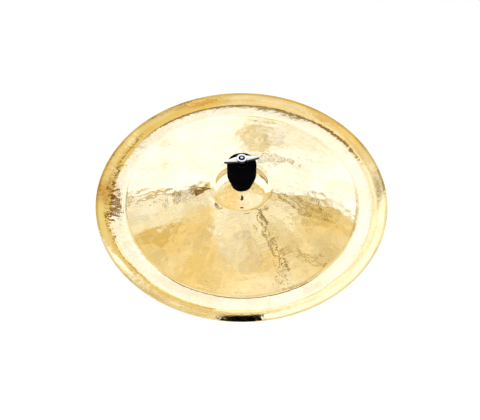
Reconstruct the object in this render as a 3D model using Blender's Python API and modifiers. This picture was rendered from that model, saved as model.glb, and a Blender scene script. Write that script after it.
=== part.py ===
"""China-type cymbal on its tilter, in metres, +Z up, origin at the spigot's lower end."""

import math

import bmesh
import bpy
from mathutils import Matrix

MM = 0.001

# Clearances
CLEAR = 0.3 * MM  # between faces that rest on or run past each other
BORE_CLEAR = 0.3 * MM  # radial, round a shank or rod

# Cymbal plate
RIM_RADIUS = 203.2 * MM
RIM_TO_CREASE = 40.8 * MM  # plan width of the turned-up flange
FLANGE_RISE = 9.7 * MM
TROUGH_WIDTH = 21.6 * MM  # the flange's inner part, which lies nearly flat
TROUGH_RISE = 2.65 * MM
TROUGH_SAG = 0.28 * MM
LIP_SAG = 0.42 * MM  # the flange's outer part, which turns up
BOW_DROP = 23.7 * MM  # from the bell's foot to the crease
BOW_CROWN = 2.2 * MM
BELL_RADIUS = 39.5 * MM
BELL_RISE = 15.5 * MM
BELL_FOOT_BLEND = 5.0 * MM
CREASE_BLEND = 3.0 * MM
LIP_BLEND = 3.0 * MM
HOLE_RADIUS = 6.35 * MM
BELL_WALL = 1.1 * MM
BOW_WALL = 0.9 * MM
RIM_WALL = 0.7 * MM

# Rod, sleeve and felts
ROD_RADIUS = 3.85 * MM
ROD_CHAMFER = 1.0 * MM
ROD_PAST_NUT = 0.4 * MM
SLEEVE_WALL = 0.85 * MM
SLEEVE_FLANGE_RADIUS = 12.0 * MM
SLEEVE_FLANGE_HEIGHT = 2.0 * MM
SLEEVE_SHORT = 0.6 * MM  # the sleeve ends this far under the nut's washer
UPPER_FELT_RADIUS = 20.0 * MM
UPPER_FELT_HEIGHT = 16.05 * MM
LOWER_FELT_RADIUS = 18.0 * MM
LOWER_FELT_HEIGHT = 11.4 * MM
FELT_EDGE = 2.5 * MM
FELT_TAPER = 2.6 * MM  # the middle felt narrows by this towards the bell
FELT_WAIST = 13.0 * MM  # and starts to at this height above its foot
SEAM_EDGE = 0.9 * MM  # the rounding where the two upper felts meet
CUP_RADIUS = 19.5 * MM
CUP_WALL = 1.5 * MM
CUP_LIP = 1.6 * MM

# Nuts and washers
HEX_ACROSS = 13.0 * MM
JAM_NUT_HEIGHT = 6.5 * MM
HEX_CHAMFER = 0.6 * MM
WASHER_RADIUS = 8.0 * MM
WASHER_WALL = 1.3 * MM
WING_HUB_FOOT = 8.0 * MM
WING_HUB_TOP = 6.8 * MM
WING_HEIGHT = 9.6 * MM
WING_REACH = 24.0 * MM
WING_TIP_DROP = 2.4 * MM  # the wings' tips lie this far below the hub's top
WING_TIP_DEPTH = 4.6 * MM
WING_FOOT_BULGE = 0.6 * MM
WING_TOP_BULGE = 0.5 * MM
WING_ROOT_THICK = 12.0 * MM
WING_TIP_THICK = 1.8 * MM
WING_SIDE_BULGE = 0.9 * MM
WING_TURN = math.radians(11.0)

# Tilter
TONGUE_RADIUS = 14.0 * MM
TONGUE_THICK = 12.0 * MM
DISC_WALL = 1.0 * MM
CHEEK_THICK = 4.5 * MM
FORK_FLOOR_GAP = 1.5 * MM
BOSS_RADIUS = 9.0 * MM
BOSS_HEIGHT = 9.5 * MM
BOSS_FLOOR = 2.0 * MM  # solid metal left between the clamp bore and the rod's end
SHANK_RADIUS = 3.9 * MM
SHANK_PAST_NUT = 3.0 * MM
NUT_RECESS = 2.5 * MM
COLLAR_RADIUS = 15.0 * MM
COLLAR_HEIGHT = 26.0 * MM
SOCKET_DEPTH = 20.0 * MM
CAST_EDGE = 0.8 * MM
SPIGOT_RADIUS = 6.35 * MM
SPIGOT_LENGTH = 60.0 * MM
SPIGOT_CHAMFER = 0.8 * MM
SET_SCREW_RADIUS = 3.0 * MM
SET_SCREW_UP = 9.0 * MM  # above the collar's lower end
KEY_ACROSS = 3.0 * MM
KEY_DEPTH = 2.5 * MM

# Heights worked out from the spigot's lower end
COLLAR_BOTTOM = SPIGOT_LENGTH - SOCKET_DEPTH
COLLAR_TOP = COLLAR_BOTTOM + COLLAR_HEIGHT
PIVOT_Z = COLLAR_TOP + FORK_FLOOR_GAP + TONGUE_RADIUS
BOSS_BOTTOM = PIVOT_Z + TONGUE_RADIUS + 2 * CLEAR
BOSS_TOP = BOSS_BOTTOM + BOSS_HEIGHT
ROD_BOTTOM = PIVOT_Z + SHANK_RADIUS + BORE_CLEAR + BOSS_FLOOR
JAM_NUT_Z = BOSS_TOP + CLEAR
CUP_Z = JAM_NUT_Z + JAM_NUT_HEIGHT + CLEAR
SLEEVE_Z = CUP_Z + CUP_WALL + CLEAR
LOWER_FELT_Z = SLEEVE_Z + SLEEVE_FLANGE_HEIGHT + CLEAR
BELL_UNDER_Z = LOWER_FELT_Z + LOWER_FELT_HEIGHT + CLEAR
HOLE_TOP_Z = BELL_UNDER_Z + BELL_WALL
MIDDLE_FELT_Z = HOLE_TOP_Z + CLEAR
UPPER_FELT_Z = MIDDLE_FELT_Z + UPPER_FELT_HEIGHT + CLEAR
NUT_WASHER_Z = UPPER_FELT_Z + UPPER_FELT_HEIGHT + CLEAR
WING_NUT_Z = NUT_WASHER_Z + WASHER_WALL + CLEAR
ROD_TOP = WING_NUT_Z + WING_HEIGHT + ROD_PAST_NUT
ROCK_Z = HOLE_TOP_Z - BELL_WALL / 2

# Radii and places worked out from what passes through or stands beside
CREASE_RADIUS = RIM_RADIUS - RIM_TO_CREASE
SLEEVE_BORE = ROD_RADIUS + BORE_CLEAR
SLEEVE_RADIUS = SLEEVE_BORE + SLEEVE_WALL
FELT_BORE = SLEEVE_RADIUS + BORE_CLEAR
SHANK_BORE = SHANK_RADIUS + BORE_CLEAR
CHEEK_INNER = TONGUE_THICK / 2 + DISC_WALL + 2 * CLEAR
CHEEK_OUTER = CHEEK_INNER + CHEEK_THICK
CLAMP_WASHER_X = CHEEK_OUTER + CLEAR
CLAMP_HEAD_X = CLAMP_WASHER_X + WASHER_WALL + CLEAR
CLAMP_NUT_X = -CHEEK_OUTER + NUT_RECESS - CLEAR
SHANK_END_X = CLAMP_NUT_X - JAM_NUT_HEIGHT - SHANK_PAST_NUT

PLATE_STEPS = 72
BELL_POINTS = 7
BOW_POINTS = 8
TROUGH_POINTS = 3
LIP_POINTS = 3
BLEND_POINTS = 2
ROUND_STEPS = 32
SMALL_STEPS = 24
SMOOTH_ANGLE = math.radians(35)


def new_collection(name):
    """A collection linked to the scene."""
    collection = bpy.data.collections.new(name)
    bpy.context.scene.collection.children.link(collection)
    return collection


def new_material(name, colour, roughness, metallic):
    """A Principled material of one colour."""
    material = bpy.data.materials.new(name)
    material.use_nodes = True
    shader = material.node_tree.nodes["Principled BSDF"]
    shader.inputs["Base Color"].default_value = (*colour, 1.0)
    shader.inputs["Roughness"].default_value = roughness
    shader.inputs["Metallic"].default_value = metallic
    return material


def add_object(name, data, collection, location=(0, 0, 0), rotation=(0, 0, 0), parent=None):
    """An object in the collection, placed in the space of its parent."""
    thing = bpy.data.objects.new(name, data)
    thing.location = location
    thing.rotation_euler = rotation
    thing.parent = parent
    collection.objects.link(thing)
    return thing


def add_pivot(name, collection, location, parent=None):
    """An empty on a joint's axis, given by its place in the world."""
    offset = parent.matrix_world.translation if parent else (0, 0, 0)
    local = [location[i] - offset[i] for i in range(3)]
    pivot = add_object(name, None, collection, local, parent=parent)
    bpy.context.view_layer.update()
    return pivot


def place(thing, pivot, world):
    """Parents an object to a pivot and puts its origin at a place in the world."""
    thing.parent = pivot
    thing.location = [world[i] - pivot.matrix_world.translation[i] for i in range(3)]


def finish(thing, material):
    """Gives an object its material and smooth round faces."""
    thing.data.materials.append(material)
    if thing.type == "MESH":
        thing.data.shade_smooth()
        thing.data.set_sharp_from_angle(angle=SMOOTH_ANGLE)


def turned(name, profile, collection, steps=ROUND_STEPS, closed=False):
    """Turns (radius, height) points, outer side running down, round the Z axis."""
    mesh = bpy.data.meshes.new(name)
    count = len(profile)
    edges = [(i, i + 1) for i in range(count - 1)]
    if closed:
        edges.append((count - 1, 0))
    mesh.from_pydata([(radius, 0, height) for radius, height in profile], edges, [])
    thing = add_object(name, mesh, collection)
    screw = thing.modifiers.new("turn", "SCREW")
    screw.steps = steps
    screw.render_steps = steps
    screw.use_merge_vertices = True
    screw.merge_threshold = 0.00001
    return thing


def ring_profile(bore, radius, bottom, top, edge=0.0):
    """A ring's closed section, with its outer corners cut by an edge size."""
    return [
        (bore, top),
        (radius - edge, top),
        (radius, top - edge),
        (radius, bottom + edge),
        (radius - edge, bottom),
        (bore, bottom),
    ] if edge else [(bore, top), (radius, top), (radius, bottom), (bore, bottom)]


def rod_profile(radius, bottom, top, chamfer):
    """A solid rod's section with a chamfer at each end."""
    return [
        (0, top),
        (radius - chamfer, top),
        (radius, top - chamfer),
        (radius, bottom + chamfer),
        (radius - chamfer, bottom),
        (0, bottom),
    ]


def outlined(name, points, thickness, collection):
    """A flat outline in XY, filled and extruded to a thickness about its plane, as a mesh."""
    curve = bpy.data.curves.new(name, "CURVE")
    curve.dimensions = "2D"
    curve.fill_mode = "BOTH"
    curve.extrude = thickness / 2
    spline = curve.splines.new("POLY")
    spline.points.add(len(points) - 1)
    for point, (x, y) in zip(spline.points, points):
        point.co = (x, y, 0, 1)
    spline.use_cyclic_u = True
    guide = add_object(name + "_outline", curve, collection)
    bpy.context.view_layer.update()
    shape = guide.evaluated_get(bpy.context.evaluated_depsgraph_get())
    mesh = bpy.data.meshes.new_from_object(shape)
    bpy.data.objects.remove(guide)
    bpy.data.curves.remove(curve)
    work = bmesh.new()
    work.from_mesh(mesh)
    bmesh.ops.remove_doubles(work, verts=work.verts, dist=0.000001)
    bmesh.ops.recalc_face_normals(work, faces=work.faces)
    work.to_mesh(mesh)
    work.free()
    mesh.name = name
    return add_object(name, mesh, collection)


def cutter_cylinder(name, radius, depth, collection, steps=ROUND_STEPS):
    """A plain cylinder about Z, centred on its origin, with a flat side towards +X."""
    mesh = bpy.data.meshes.new(name)
    work = bmesh.new()
    bmesh.ops.create_cone(
        work, cap_ends=True, segments=steps, radius1=radius, radius2=radius, depth=depth,
        matrix=Matrix.Rotation(math.pi / steps, 4, "Z"),
    )
    work.to_mesh(mesh)
    work.free()
    return add_object(name, mesh, collection)


def cutter_box(name, size, collection):
    """A box centred on its origin."""
    mesh = bpy.data.meshes.new(name)
    work = bmesh.new()
    bmesh.ops.create_cube(work, size=1.0)
    bmesh.ops.scale(work, vec=size, verts=work.verts)
    work.to_mesh(mesh)
    work.free()
    return add_object(name, mesh, collection)


def combine(thing, other, operation):
    """Adds a Boolean with another object, which becomes a hidden guide."""
    boolean = thing.modifiers.new(operation.lower(), "BOOLEAN")
    boolean.operation = operation
    boolean.solver = "EXACT"
    boolean.object = other
    other.hide_render = True
    other.display_type = "WIRE"


def hex_points(across):
    """The six corners of a hexagon, given across its flats."""
    reach = across / math.sqrt(3)
    return [(reach * math.cos(k * math.pi / 3), reach * math.sin(k * math.pi / 3)) for k in range(6)]


def arc(start, end, sag, count):
    """Points from start to end on a circular arc that bulges by sag to the left of its way."""
    along = (end[0] - start[0], end[1] - start[1])
    chord = math.hypot(*along)
    radius = (chord * chord / 4 + sag * sag) / (2 * abs(sag))
    half = math.asin(min(1.0, chord / (2 * radius)))
    side = math.copysign(1.0, sag)
    left = (-along[1] / chord * side, along[0] / chord * side)
    middle = ((start[0] + end[0]) / 2, (start[1] + end[1]) / 2)
    centre = [middle[i] - left[i] * (radius - abs(sag)) for i in range(2)]
    points = []
    for k in range(count + 1):
        angle = half * (2 * k / count - 1)
        points.append(tuple(
            centre[i] + radius * (left[i] * math.cos(angle) + along[i] / chord * math.sin(angle))
            for i in range(2)
        ))
    return points


def blended(first, second, reach, count):
    """Joins two runs of points at their shared corner with a smooth curve of a given reach."""
    corner = first[-1]
    before = [p for p in first if math.dist(p, corner) > reach]
    after = [p for p in second if math.dist(p, corner) > reach]
    enter = along_run(first[::-1], reach)
    leave = along_run(second, reach)
    curve = []
    for k in range(count + 1):
        t = k / count
        curve.append(tuple(
            (1 - t) ** 2 * enter[i] + 2 * t * (1 - t) * corner[i] + t * t * leave[i] for i in range(2)
        ))
    return before + curve + after


def along_run(points, reach):
    """The point at a given straight distance from a run's first point."""
    for a, b in zip(points, points[1:]):
        if math.dist(points[0], b) >= reach:
            near = math.dist(points[0], a)
            share = (reach - near) / (math.dist(points[0], b) - near)
            return tuple(a[i] + (b[i] - a[i]) * share for i in range(2))
    return points[-1]


def plate_top():
    """The cymbal's upper surface from its hole to its rim, as (radius, height)."""
    foot_z = HOLE_TOP_Z - BELL_RISE
    crease_z = foot_z - BOW_DROP
    bell_round = (BELL_RADIUS ** 2 + BELL_RISE ** 2) / (2 * BELL_RISE)
    apex_gap = bell_round - math.sqrt(bell_round ** 2 - HOLE_RADIUS ** 2)
    bell = []
    for k in range(BELL_POINTS + 1):
        radius = HOLE_RADIUS + (BELL_RADIUS - HOLE_RADIUS) * k / BELL_POINTS
        drop = bell_round - math.sqrt(bell_round ** 2 - radius ** 2) - apex_gap
        bell.append((radius, HOLE_TOP_Z - drop * BELL_RISE / (BELL_RISE - apex_gap)))
    bow = arc((BELL_RADIUS, foot_z), (CREASE_RADIUS, crease_z), BOW_CROWN, BOW_POINTS)
    turn_up = (CREASE_RADIUS + TROUGH_WIDTH, crease_z + TROUGH_RISE)
    trough = arc((CREASE_RADIUS, crease_z), turn_up, -TROUGH_SAG, TROUGH_POINTS)
    lip = arc(turn_up, (RIM_RADIUS, crease_z + FLANGE_RISE), -LIP_SAG, LIP_POINTS)
    body = blended(bell, bow, BELL_FOOT_BLEND, BLEND_POINTS)
    body = blended(body, trough, CREASE_BLEND, BLEND_POINTS)
    return blended(body, lip, LIP_BLEND, BLEND_POINTS)


def wall_at(radius):
    """The plate's thickness, which thins from the bell over the bow to the rim."""
    if radius < BELL_RADIUS:
        share = radius / BELL_RADIUS
        return BELL_WALL + (BOW_WALL - BELL_WALL) * share
    share = (radius - BELL_RADIUS) / (RIM_RADIUS - BELL_RADIUS)
    return BOW_WALL + (RIM_WALL - BOW_WALL) * share


def plate_under():
    """The cymbal's lower surface from its rim back to its hole, square to the upper one."""
    top = plate_top()
    under = []
    for k, (radius, height) in enumerate(top):
        before = top[max(k - 1, 0)]
        after = top[min(k + 1, len(top) - 1)]
        run = math.dist(before, after)
        wall = wall_at(radius)
        under.append((
            radius + wall * (after[1] - before[1]) / run,
            height - wall * (after[0] - before[0]) / run,
        ))
    under[0] = (HOLE_RADIUS, under[0][1])
    under[-1] = (RIM_RADIUS, under[-1][1])
    return under[::-1]


def height_on(run, radius):
    """The height of a run of points at a radius."""
    ordered = sorted(run)
    for a, b in zip(ordered, ordered[1:]):
        if a[0] <= radius <= b[0]:
            return a[1] + (b[1] - a[1]) * (radius - a[0]) / (b[0] - a[0])
    return ordered[0][1] if radius < ordered[0][0] else ordered[-1][1]


def make_cymbal(parts, bronze, pivot):
    """The bronze plate: bell, bow and turned-up flange round one hole."""
    section = [(r, z - HOLE_TOP_Z) for r, z in plate_top() + plate_under()]
    cymbal = turned("cymbal", section, parts, PLATE_STEPS, closed=True)
    finish(cymbal, bronze)
    place(cymbal, pivot, (0, 0, HOLE_TOP_Z))


def make_middle_felt(parts, felt, pivot):
    """The lower of the two upper felts, with its foot shaped to the bell."""
    top_run = plate_top()
    top = MIDDLE_FELT_Z + UPPER_FELT_HEIGHT
    narrow = UPPER_FELT_RADIUS - FELT_TAPER
    foot_radius = narrow - FELT_EDGE
    foot = [
        (radius, height_on(top_run, radius) + CLEAR)
        for radius in (foot_radius - (foot_radius - FELT_BORE) * k / 4 for k in range(5))
    ]
    section = [
        (FELT_BORE, top),
        (UPPER_FELT_RADIUS - SEAM_EDGE, top),
        (UPPER_FELT_RADIUS, top - SEAM_EDGE),
        (UPPER_FELT_RADIUS, foot[0][1] + FELT_WAIST),
        (UPPER_FELT_RADIUS - FELT_TAPER * 0.3, foot[0][1] + (FELT_WAIST + FELT_EDGE) / 2),
        (narrow, foot[0][1] + FELT_EDGE),
        (narrow - FELT_EDGE * 0.3, foot[0][1] + FELT_EDGE * 0.3),
        *foot,
    ]
    thing = turned("middle_felt", section, parts, closed=True)
    finish(thing, felt)
    place(thing, pivot, (0, 0, 0))


def make_upper_felt(parts, felt, pivot):
    """The felt directly under the wing nut's washer."""
    section = ring_profile(
        FELT_BORE, UPPER_FELT_RADIUS, UPPER_FELT_Z, UPPER_FELT_Z + UPPER_FELT_HEIGHT, SEAM_EDGE
    )
    thing = turned("upper_felt", section, parts, closed=True)
    finish(thing, felt)
    place(thing, pivot, (0, 0, 0))


def make_lower_felt(parts, felt, pivot):
    """The felt under the bell, with its crown shaped to the bell's inside."""
    under = plate_under()
    crown_radius = LOWER_FELT_RADIUS - FELT_EDGE
    crown = [
        (radius, min(height_on(under, radius), BELL_UNDER_Z) - CLEAR)
        for radius in (FELT_BORE + (crown_radius - FELT_BORE) * k / 4 for k in range(5))
    ]
    section = [
        *crown,
        (LOWER_FELT_RADIUS, crown[-1][1] - FELT_EDGE),
        (LOWER_FELT_RADIUS, LOWER_FELT_Z + FELT_EDGE / 2),
        (LOWER_FELT_RADIUS - FELT_EDGE / 2, LOWER_FELT_Z),
        (FELT_BORE, LOWER_FELT_Z),
    ]
    thing = turned("lower_felt", section, parts, closed=True)
    finish(thing, felt)
    place(thing, pivot, (0, 0, 0))


def make_sleeve(parts, nylon, pivot):
    """The sleeve round the rod, standing on its flange."""
    flange_top = SLEEVE_Z + SLEEVE_FLANGE_HEIGHT
    top = NUT_WASHER_Z - SLEEVE_SHORT
    section = [
        (SLEEVE_BORE, top),
        (SLEEVE_RADIUS, top),
        (SLEEVE_RADIUS, flange_top),
        (SLEEVE_FLANGE_RADIUS, flange_top),
        (SLEEVE_FLANGE_RADIUS, SLEEVE_Z),
        (SLEEVE_BORE, SLEEVE_Z),
    ]
    thing = turned("sleeve", section, parts, SMALL_STEPS, closed=True)
    finish(thing, nylon)
    place(thing, pivot, (0, 0, 0))


def make_cup_washer(parts, steel, pivot):
    """The pressed seat under the sleeve and the lower felt, with a raised lip."""
    bore = ROD_RADIUS + BORE_CLEAR
    top = CUP_Z + CUP_WALL
    lip = top + CUP_LIP
    section = [
        (bore, top),
        (CUP_RADIUS - 2 * CUP_WALL, top),
        (CUP_RADIUS - CUP_WALL, lip),
        (CUP_RADIUS, lip),
        (CUP_RADIUS - CUP_WALL, CUP_Z),
        (bore, CUP_Z),
    ]
    thing = turned("cup_washer", section, parts, closed=True)
    finish(thing, steel)
    place(thing, pivot, (0, 0, 0))


def make_post_rod(parts, steel, pivot):
    """The threaded rod from the boss to just past the wing nut."""
    section = rod_profile(ROD_RADIUS, ROD_BOTTOM, ROD_TOP, ROD_CHAMFER)
    thing = turned("post_rod", section, parts, SMALL_STEPS)
    finish(thing, steel)
    place(thing, pivot, (0, 0, 0))


def hex_nut(name, bore, parts, cutters):
    """A hex nut standing on its origin, with chamfered corners and a plain bore."""
    nut = outlined(name, hex_points(HEX_ACROSS), 4 * JAM_NUT_HEIGHT, parts)
    corner = HEX_ACROSS / math.sqrt(3)
    section = rod_profile(corner + HEX_CHAMFER, 0, JAM_NUT_HEIGHT, 2 * HEX_CHAMFER)
    combine(nut, turned(name + "_chamfer", section, cutters), "INTERSECT")
    hole = cutter_cylinder(name + "_bore", bore, 4 * JAM_NUT_HEIGHT, cutters, SMALL_STEPS)
    combine(nut, hole, "DIFFERENCE")
    return nut


def cutters_follow(thing):
    """Parents an object's guides to it, so that they are placed with it."""
    for modifier in thing.modifiers:
        if modifier.type == "BOOLEAN":
            modifier.object.parent = thing


def make_jam_nut(parts, cutters, steel, pivot):
    """The nut that locks the rod in the boss."""
    nut = hex_nut("jam_nut", ROD_RADIUS + BORE_CLEAR, parts, cutters)
    cutters_follow(nut)
    finish(nut, steel)
    place(nut, pivot, (0, 0, JAM_NUT_Z))


def make_washer(name, bore, parts, material):
    """A flat washer standing on its origin."""
    washer = turned(name, ring_profile(bore, WASHER_RADIUS, 0, WASHER_WALL), parts, closed=True)
    finish(washer, material)
    return washer


def wing_outline():
    """The wings seen from the side: a sloping top edge and a foot that rises to the tips."""
    tip_top = WING_HEIGHT - WING_TIP_DROP
    tip_foot = tip_top - WING_TIP_DEPTH
    lower_start = (WING_HUB_FOOT * 0.6, WING_HEIGHT * 0.12)
    right = arc(lower_start, (WING_REACH, tip_foot), -WING_FOOT_BULGE, 6)
    right += arc((WING_REACH, tip_top), (WING_HUB_TOP * 0.7, WING_HEIGHT), -WING_TOP_BULGE, 5)
    left = [(-x, z) for x, z in right[::-1]]
    return right + left


def wing_plan():
    """The wings seen from above: thick at the hub and thin at the tips."""
    half_root = WING_ROOT_THICK / 2
    half_tip = WING_TIP_THICK / 2
    side = arc((WING_REACH, half_tip), (0, half_root), -WING_SIDE_BULGE, 5)
    left = [(-x, y) for x, y in side[::-1]][1:]
    upper = side + left
    return upper + [(x, -y) for x, y in upper[::-1]]


def winged_head(name, parts, cutters):
    """A hub with two wings, standing on its origin: side and plan outlines meet in the wings."""
    hub = turned(
        name,
        [
            (0, WING_HEIGHT),
            (WING_HUB_TOP, WING_HEIGHT),
            (WING_HUB_TOP + 0.2 * (WING_HUB_FOOT - WING_HUB_TOP), WING_HEIGHT * 0.9),
            (WING_HUB_FOOT, 0),
            (0, 0),
        ],
        parts,
    )
    wings = outlined(name + "_wings", wing_outline(), 2 * WING_REACH, cutters)
    for vertex in wings.data.vertices:
        x, y, z = vertex.co
        vertex.co = (x, -z, y)
    plan = outlined(name + "_plan", wing_plan(), 4 * WING_HEIGHT, cutters)
    combine(wings, plan, "INTERSECT")
    combine(hub, wings, "UNION")
    plan.parent = wings
    return hub


def make_wing_nut(parts, cutters, chrome, pivot):
    """The wing nut on the rod, turned as it stands in the photograph."""
    nut = winged_head("wing_nut", parts, cutters)
    bore = ROD_RADIUS + BORE_CLEAR
    combine(nut, cutter_cylinder("wing_nut_bore", bore, 4 * WING_HEIGHT, cutters, SMALL_STEPS), "DIFFERENCE")
    cutters_follow(nut)
    finish(nut, chrome)
    place(nut, pivot, (0, 0, WING_NUT_Z))
    nut.rotation_euler = (0, 0, WING_TURN)


def make_clamp_screw(parts, cutters, chrome, pivot):
    """The tilter's wing screw: winged head outside the fork and shank through it."""
    screw = winged_head("clamp_screw", parts, cutters)
    length = CLAMP_HEAD_X - SHANK_END_X
    section = rod_profile(SHANK_RADIUS, -length, WING_HEIGHT / 2, ROD_CHAMFER)
    combine(screw, turned("clamp_screw_shank", section, cutters, SMALL_STEPS), "UNION")
    cutters_follow(screw)
    finish(screw, chrome)
    place(screw, pivot, (CLAMP_HEAD_X, 0, PIVOT_Z))
    screw.rotation_euler = (0, math.pi / 2, 0)


def make_friction_discs(parts, fibre, pivot):
    """The two fibre discs between the tongue and the fork's cheeks."""
    for name, side in (("friction_disc_left", -1), ("friction_disc_right", 1)):
        section = ring_profile(SHANK_BORE, TONGUE_RADIUS, -DISC_WALL / 2, DISC_WALL / 2)
        disc = turned(name, section, parts, closed=True)
        finish(disc, fibre)
        middle = side * (TONGUE_THICK / 2 + CLEAR + DISC_WALL / 2)
        place(disc, pivot, (middle, 0, PIVOT_Z))
        disc.rotation_euler = (0, math.pi / 2, 0)


def make_tilter_head(parts, cutters, cast, pivot):
    """The tilter's upper half: a round tongue on the pivot and a boss for the rod."""
    head = cutter_cylinder("tilter_head", TONGUE_RADIUS, TONGUE_THICK, parts)
    for vertex in head.data.vertices:
        x, y, z = vertex.co
        vertex.co = (z, x, y)
    neck_height = BOSS_BOTTOM - PIVOT_Z + BOSS_HEIGHT / 2
    neck = cutter_box("tilter_head_neck", (TONGUE_THICK, 2 * BOSS_RADIUS * 0.92, neck_height), cutters)
    neck.location.z = neck_height / 2
    combine(head, neck, "UNION")
    section = rod_profile(BOSS_RADIUS, BOSS_BOTTOM - PIVOT_Z, BOSS_TOP - PIVOT_Z, CAST_EDGE)
    combine(head, turned("tilter_head_boss", section, cutters), "UNION")
    socket_bottom = ROD_BOTTOM - CLEAR - PIVOT_Z
    socket_top = BOSS_TOP - PIVOT_Z + BOSS_HEIGHT
    socket = cutter_cylinder(
        "tilter_head_socket", ROD_RADIUS + BORE_CLEAR, socket_top - socket_bottom, cutters, SMALL_STEPS
    )
    socket.location.z = (socket_top + socket_bottom) / 2
    combine(head, socket, "DIFFERENCE")
    bore = cutter_cylinder("tilter_head_bore", SHANK_BORE, 2 * TONGUE_THICK, cutters, SMALL_STEPS)
    bore.rotation_euler = (0, math.pi / 2, 0)
    combine(head, bore, "DIFFERENCE")
    cutters_follow(head)
    finish(head, cast)
    place(head, pivot, (0, 0, PIVOT_Z))


def cheek_outline():
    """A cheek seen from the side, round above the pivot and narrower at the collar."""
    crown = [
        (TONGUE_RADIUS * math.cos(k * math.pi / 16), TONGUE_RADIUS * math.sin(k * math.pi / 16))
        for k in range(17)
    ]
    low = COLLAR_TOP - PIVOT_Z - CAST_EDGE - CLEAR
    foot = math.sqrt(COLLAR_RADIUS ** 2 - CHEEK_OUTER ** 2) - CAST_EDGE / 2
    return [(foot, low), *crown, (-foot, low)]


def make_tilter_base(parts, cutters, cast):
    """The tilter's lower half: a fork for the tongue over a socket for the spigot."""
    base = turned(
        "tilter_base",
        rod_profile(COLLAR_RADIUS, COLLAR_BOTTOM - PIVOT_Z, COLLAR_TOP - PIVOT_Z, CAST_EDGE),
        parts,
    )
    for name, side in (("left_cheek", -1), ("right_cheek", 1)):
        cheek = outlined(name, cheek_outline(), CHEEK_THICK, cutters)
        for vertex in cheek.data.vertices:
            x, y, z = vertex.co
            vertex.co = (z + side * (CHEEK_INNER + CHEEK_THICK / 2), x, y)
        combine(base, cheek, "UNION")
    socket = cutter_cylinder(
        "spigot_socket", SPIGOT_RADIUS + BORE_CLEAR, 2 * (SOCKET_DEPTH + CLEAR), cutters
    )
    socket.location.z = COLLAR_BOTTOM - PIVOT_Z
    combine(base, socket, "DIFFERENCE")
    bore = cutter_cylinder("fork_bore", SHANK_BORE, 4 * CHEEK_OUTER, cutters, SMALL_STEPS)
    bore.rotation_euler = (0, math.pi / 2, 0)
    combine(base, bore, "DIFFERENCE")
    recess = outlined("nut_recess", hex_points(HEX_ACROSS + 2 * BORE_CLEAR), 2 * NUT_RECESS, cutters)
    recess.location.x = -CHEEK_OUTER
    recess.rotation_euler = (0, math.pi / 2, 0)
    combine(base, recess, "DIFFERENCE")
    tapped = cutter_cylinder(
        "set_screw_hole", SET_SCREW_RADIUS + BORE_CLEAR, 2 * COLLAR_RADIUS, cutters, SMALL_STEPS
    )
    tapped.location = (0, COLLAR_RADIUS, COLLAR_BOTTOM + SET_SCREW_UP - PIVOT_Z)
    tapped.rotation_euler = (math.pi / 2, 0, 0)
    combine(base, tapped, "DIFFERENCE")
    cutters_follow(base)
    finish(base, cast)
    base.location = (0, 0, PIVOT_Z)


def make_clamp_nut(parts, cutters, steel):
    """The hex nut held in the left cheek's recess."""
    nut = hex_nut("clamp_nut", SHANK_BORE, parts, cutters)
    cutters_follow(nut)
    finish(nut, steel)
    nut.location = (CLAMP_NUT_X, 0, PIVOT_Z)
    nut.rotation_euler = (0, -math.pi / 2, 0)


def make_stand_spigot(parts, steel):
    """The steel spigot that a stand's tube takes, from the origin up into the collar."""
    section = rod_profile(SPIGOT_RADIUS, 0, SPIGOT_LENGTH, SPIGOT_CHAMFER)
    finish(turned("stand_spigot", section, parts), steel)


def make_set_screw(parts, cutters, steel):
    """The socket set screw through the collar's wall, with a hex key hole."""
    inner = SPIGOT_RADIUS + CLEAR
    length = COLLAR_RADIUS - inner - CLEAR
    screw = turned("set_screw", rod_profile(SET_SCREW_RADIUS, 0, length, CLEAR), parts, SMALL_STEPS)
    key = outlined("set_screw_key", hex_points(KEY_ACROSS), 2 * KEY_DEPTH, cutters)
    key.location.z = length
    combine(screw, key, "DIFFERENCE")
    cutters_follow(screw)
    finish(screw, steel)
    screw.location = (0, inner, COLLAR_BOTTOM + SET_SCREW_UP)
    screw.rotation_euler = (-math.pi / 2, 0, 0)


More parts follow.
